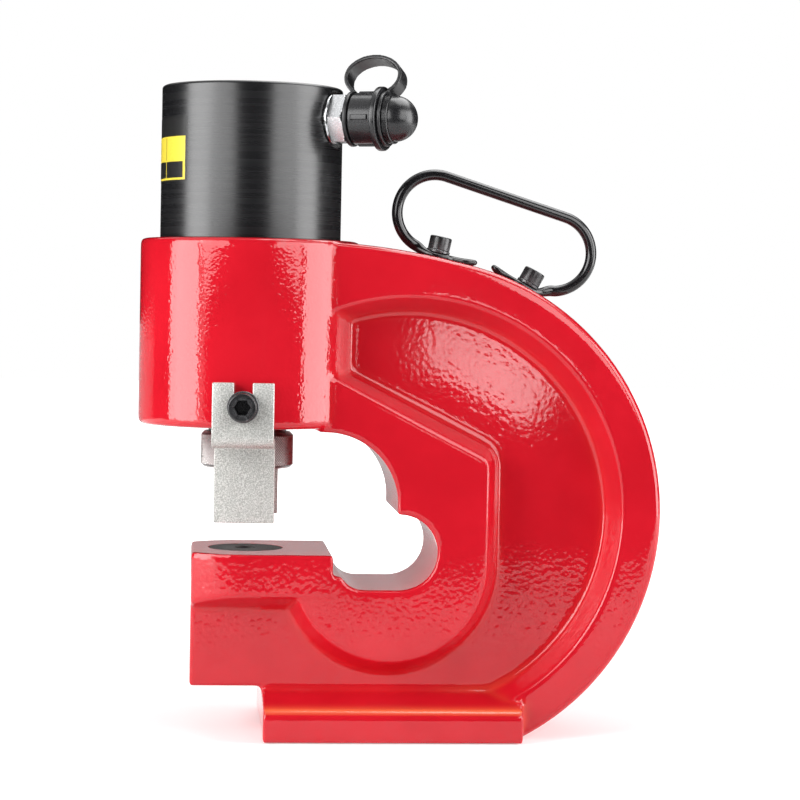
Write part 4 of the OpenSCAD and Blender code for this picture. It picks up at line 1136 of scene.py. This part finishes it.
card("front_left_card", 0.008, 1.05, 2.4, Vector((-0.355, -0.77, 1.2)), 0)
card("front_right_card", 0.008, 1.05, 2.4, Vector((0.695, -0.89, 1.2)), 0)
card("left_card", 0.008, 2.0, 2.4, Vector((-1.8, 0.75, 1.2)), 90)
card("right_card", 0.008, 1.7, 2.4, Vector((1.8, 0.95, 1.2)), 90)
card("low_back_card", 0.4, 3.0, 0.23, Vector((0.0, 0.75, 0.115)), 0)
card("high_back_card", 0.008, 3.0, 0.6, Vector((0.0, 0.75, 0.53)), 0)
print("six cards")

# %% [markdown]
# Light. Shiny paint shows the lamps themselves, so light and reflections are set apart. Two softboxes and
# three weak fills light the tool from the sides, front, top and back, and reflections don't see them. Two
# panels, two wings and a top panel are only mirrored: they draw the pale bands on the head and cylinder
# and the sheen on the crown. A small strip beside the lens does both, behind a grid that keeps it on
# the upper web. An area lamp's brightness is its power over its area, so power is worked out from the
# brightness that the reflections need.

# %% Softboxes
def softbox(
    name, place, aim, width, tall, brightness, roll=0.0, mirrored=True, lighting=True, spread=180.0
):
    """An area lamp aimed at a point and rolled about its own axis.

    Reflections see it where mirrored, and it lights the surfaces where lighting. Spread is its grid's angle.
    """
    lamp = bpy.data.lights.new(name, "AREA")
    lamp.shape, lamp.size, lamp.size_y = "RECTANGLE", width, tall
    lamp.energy = brightness * math.pi * width * tall
    if spread < 180.0:
        half = math.radians(spread) / 2
        lamp.spread = 2 * half
        lamp.energy *= 1 - half / math.tan(half)
    box = added(name, lamp)
    look = (Vector(aim) - Vector(place)).to_track_quat("-Z", "Y").to_matrix().to_4x4()
    box.matrix_world = Matrix.Translation(place) @ look @ turn(roll, "Z")
    box.visible_glossy, box.visible_diffuse = mirrored, lighting
    print(name, "power", round(lamp.energy, 4), "W")


def around(azimuth, distance, height):
    """A place round the tool. Azimuth is in degrees from straight in front, positive to the right."""
    a = math.radians(azimuth)
    return Vector((math.sin(a) * distance, -math.cos(a) * distance, height))


softbox("left_softbox", around(-62, 1.6, 0.62), (0, 0, 0.5), 0.83, 1.3, 7.5, mirrored=False)
softbox("right_softbox", around(78, 1.6, 0.62), (0, 0, 0.5), 0.92, 1.3, 7.0, mirrored=False)
softbox("left_panel", around(-73, 1.6, 0.62), (0, 0, 0.5), 1.0, 1.3, 7.3, lighting=False)
softbox("right_panel", around(71, 1.6, 0.62), (0, 0, 0.5), 1.0, 1.3, 6.3, lighting=False)
softbox("left_wing", (-0.557, -0.583, 0.59), (PUNCH_X, 0, 0.59), 0.4, 0.6, 4.8, 14.0, lighting=False)
softbox("right_wing", (0.397, -0.5745, 0.59), (PUNCH_X, 0, 0.59), 0.4, 0.6, 5.0, -11.0, lighting=False)
softbox("top_panel", (0.4, 0.3, 1.4), (0.25, 0.2, 0.2), 1.1, 1.1, 5.0, lighting=False)
softbox("strip", (0.1275, -0.765, 0.2045), (0.032, -0.027, 0.228), 0.163, 0.049, 7.5, -29.0, spread=14.0)
softbox("front_fill", around(8, 1.9, 0.9), (0, 0, 0.15), 1.0, 1.0, 0.75, mirrored=False)
softbox("top_fill", around(10, 0.3, 1.7), (0, 0, 0.2), 1.0, 1.0, 0.8, mirrored=False)
softbox("back_fill", around(180, 1.9, 0.9), (0, 0, 0.2), 1.4, 1.2, 1.8, mirrored=False)

# %% View transform
bpy.context.scene.view_settings.view_transform = "Standard"
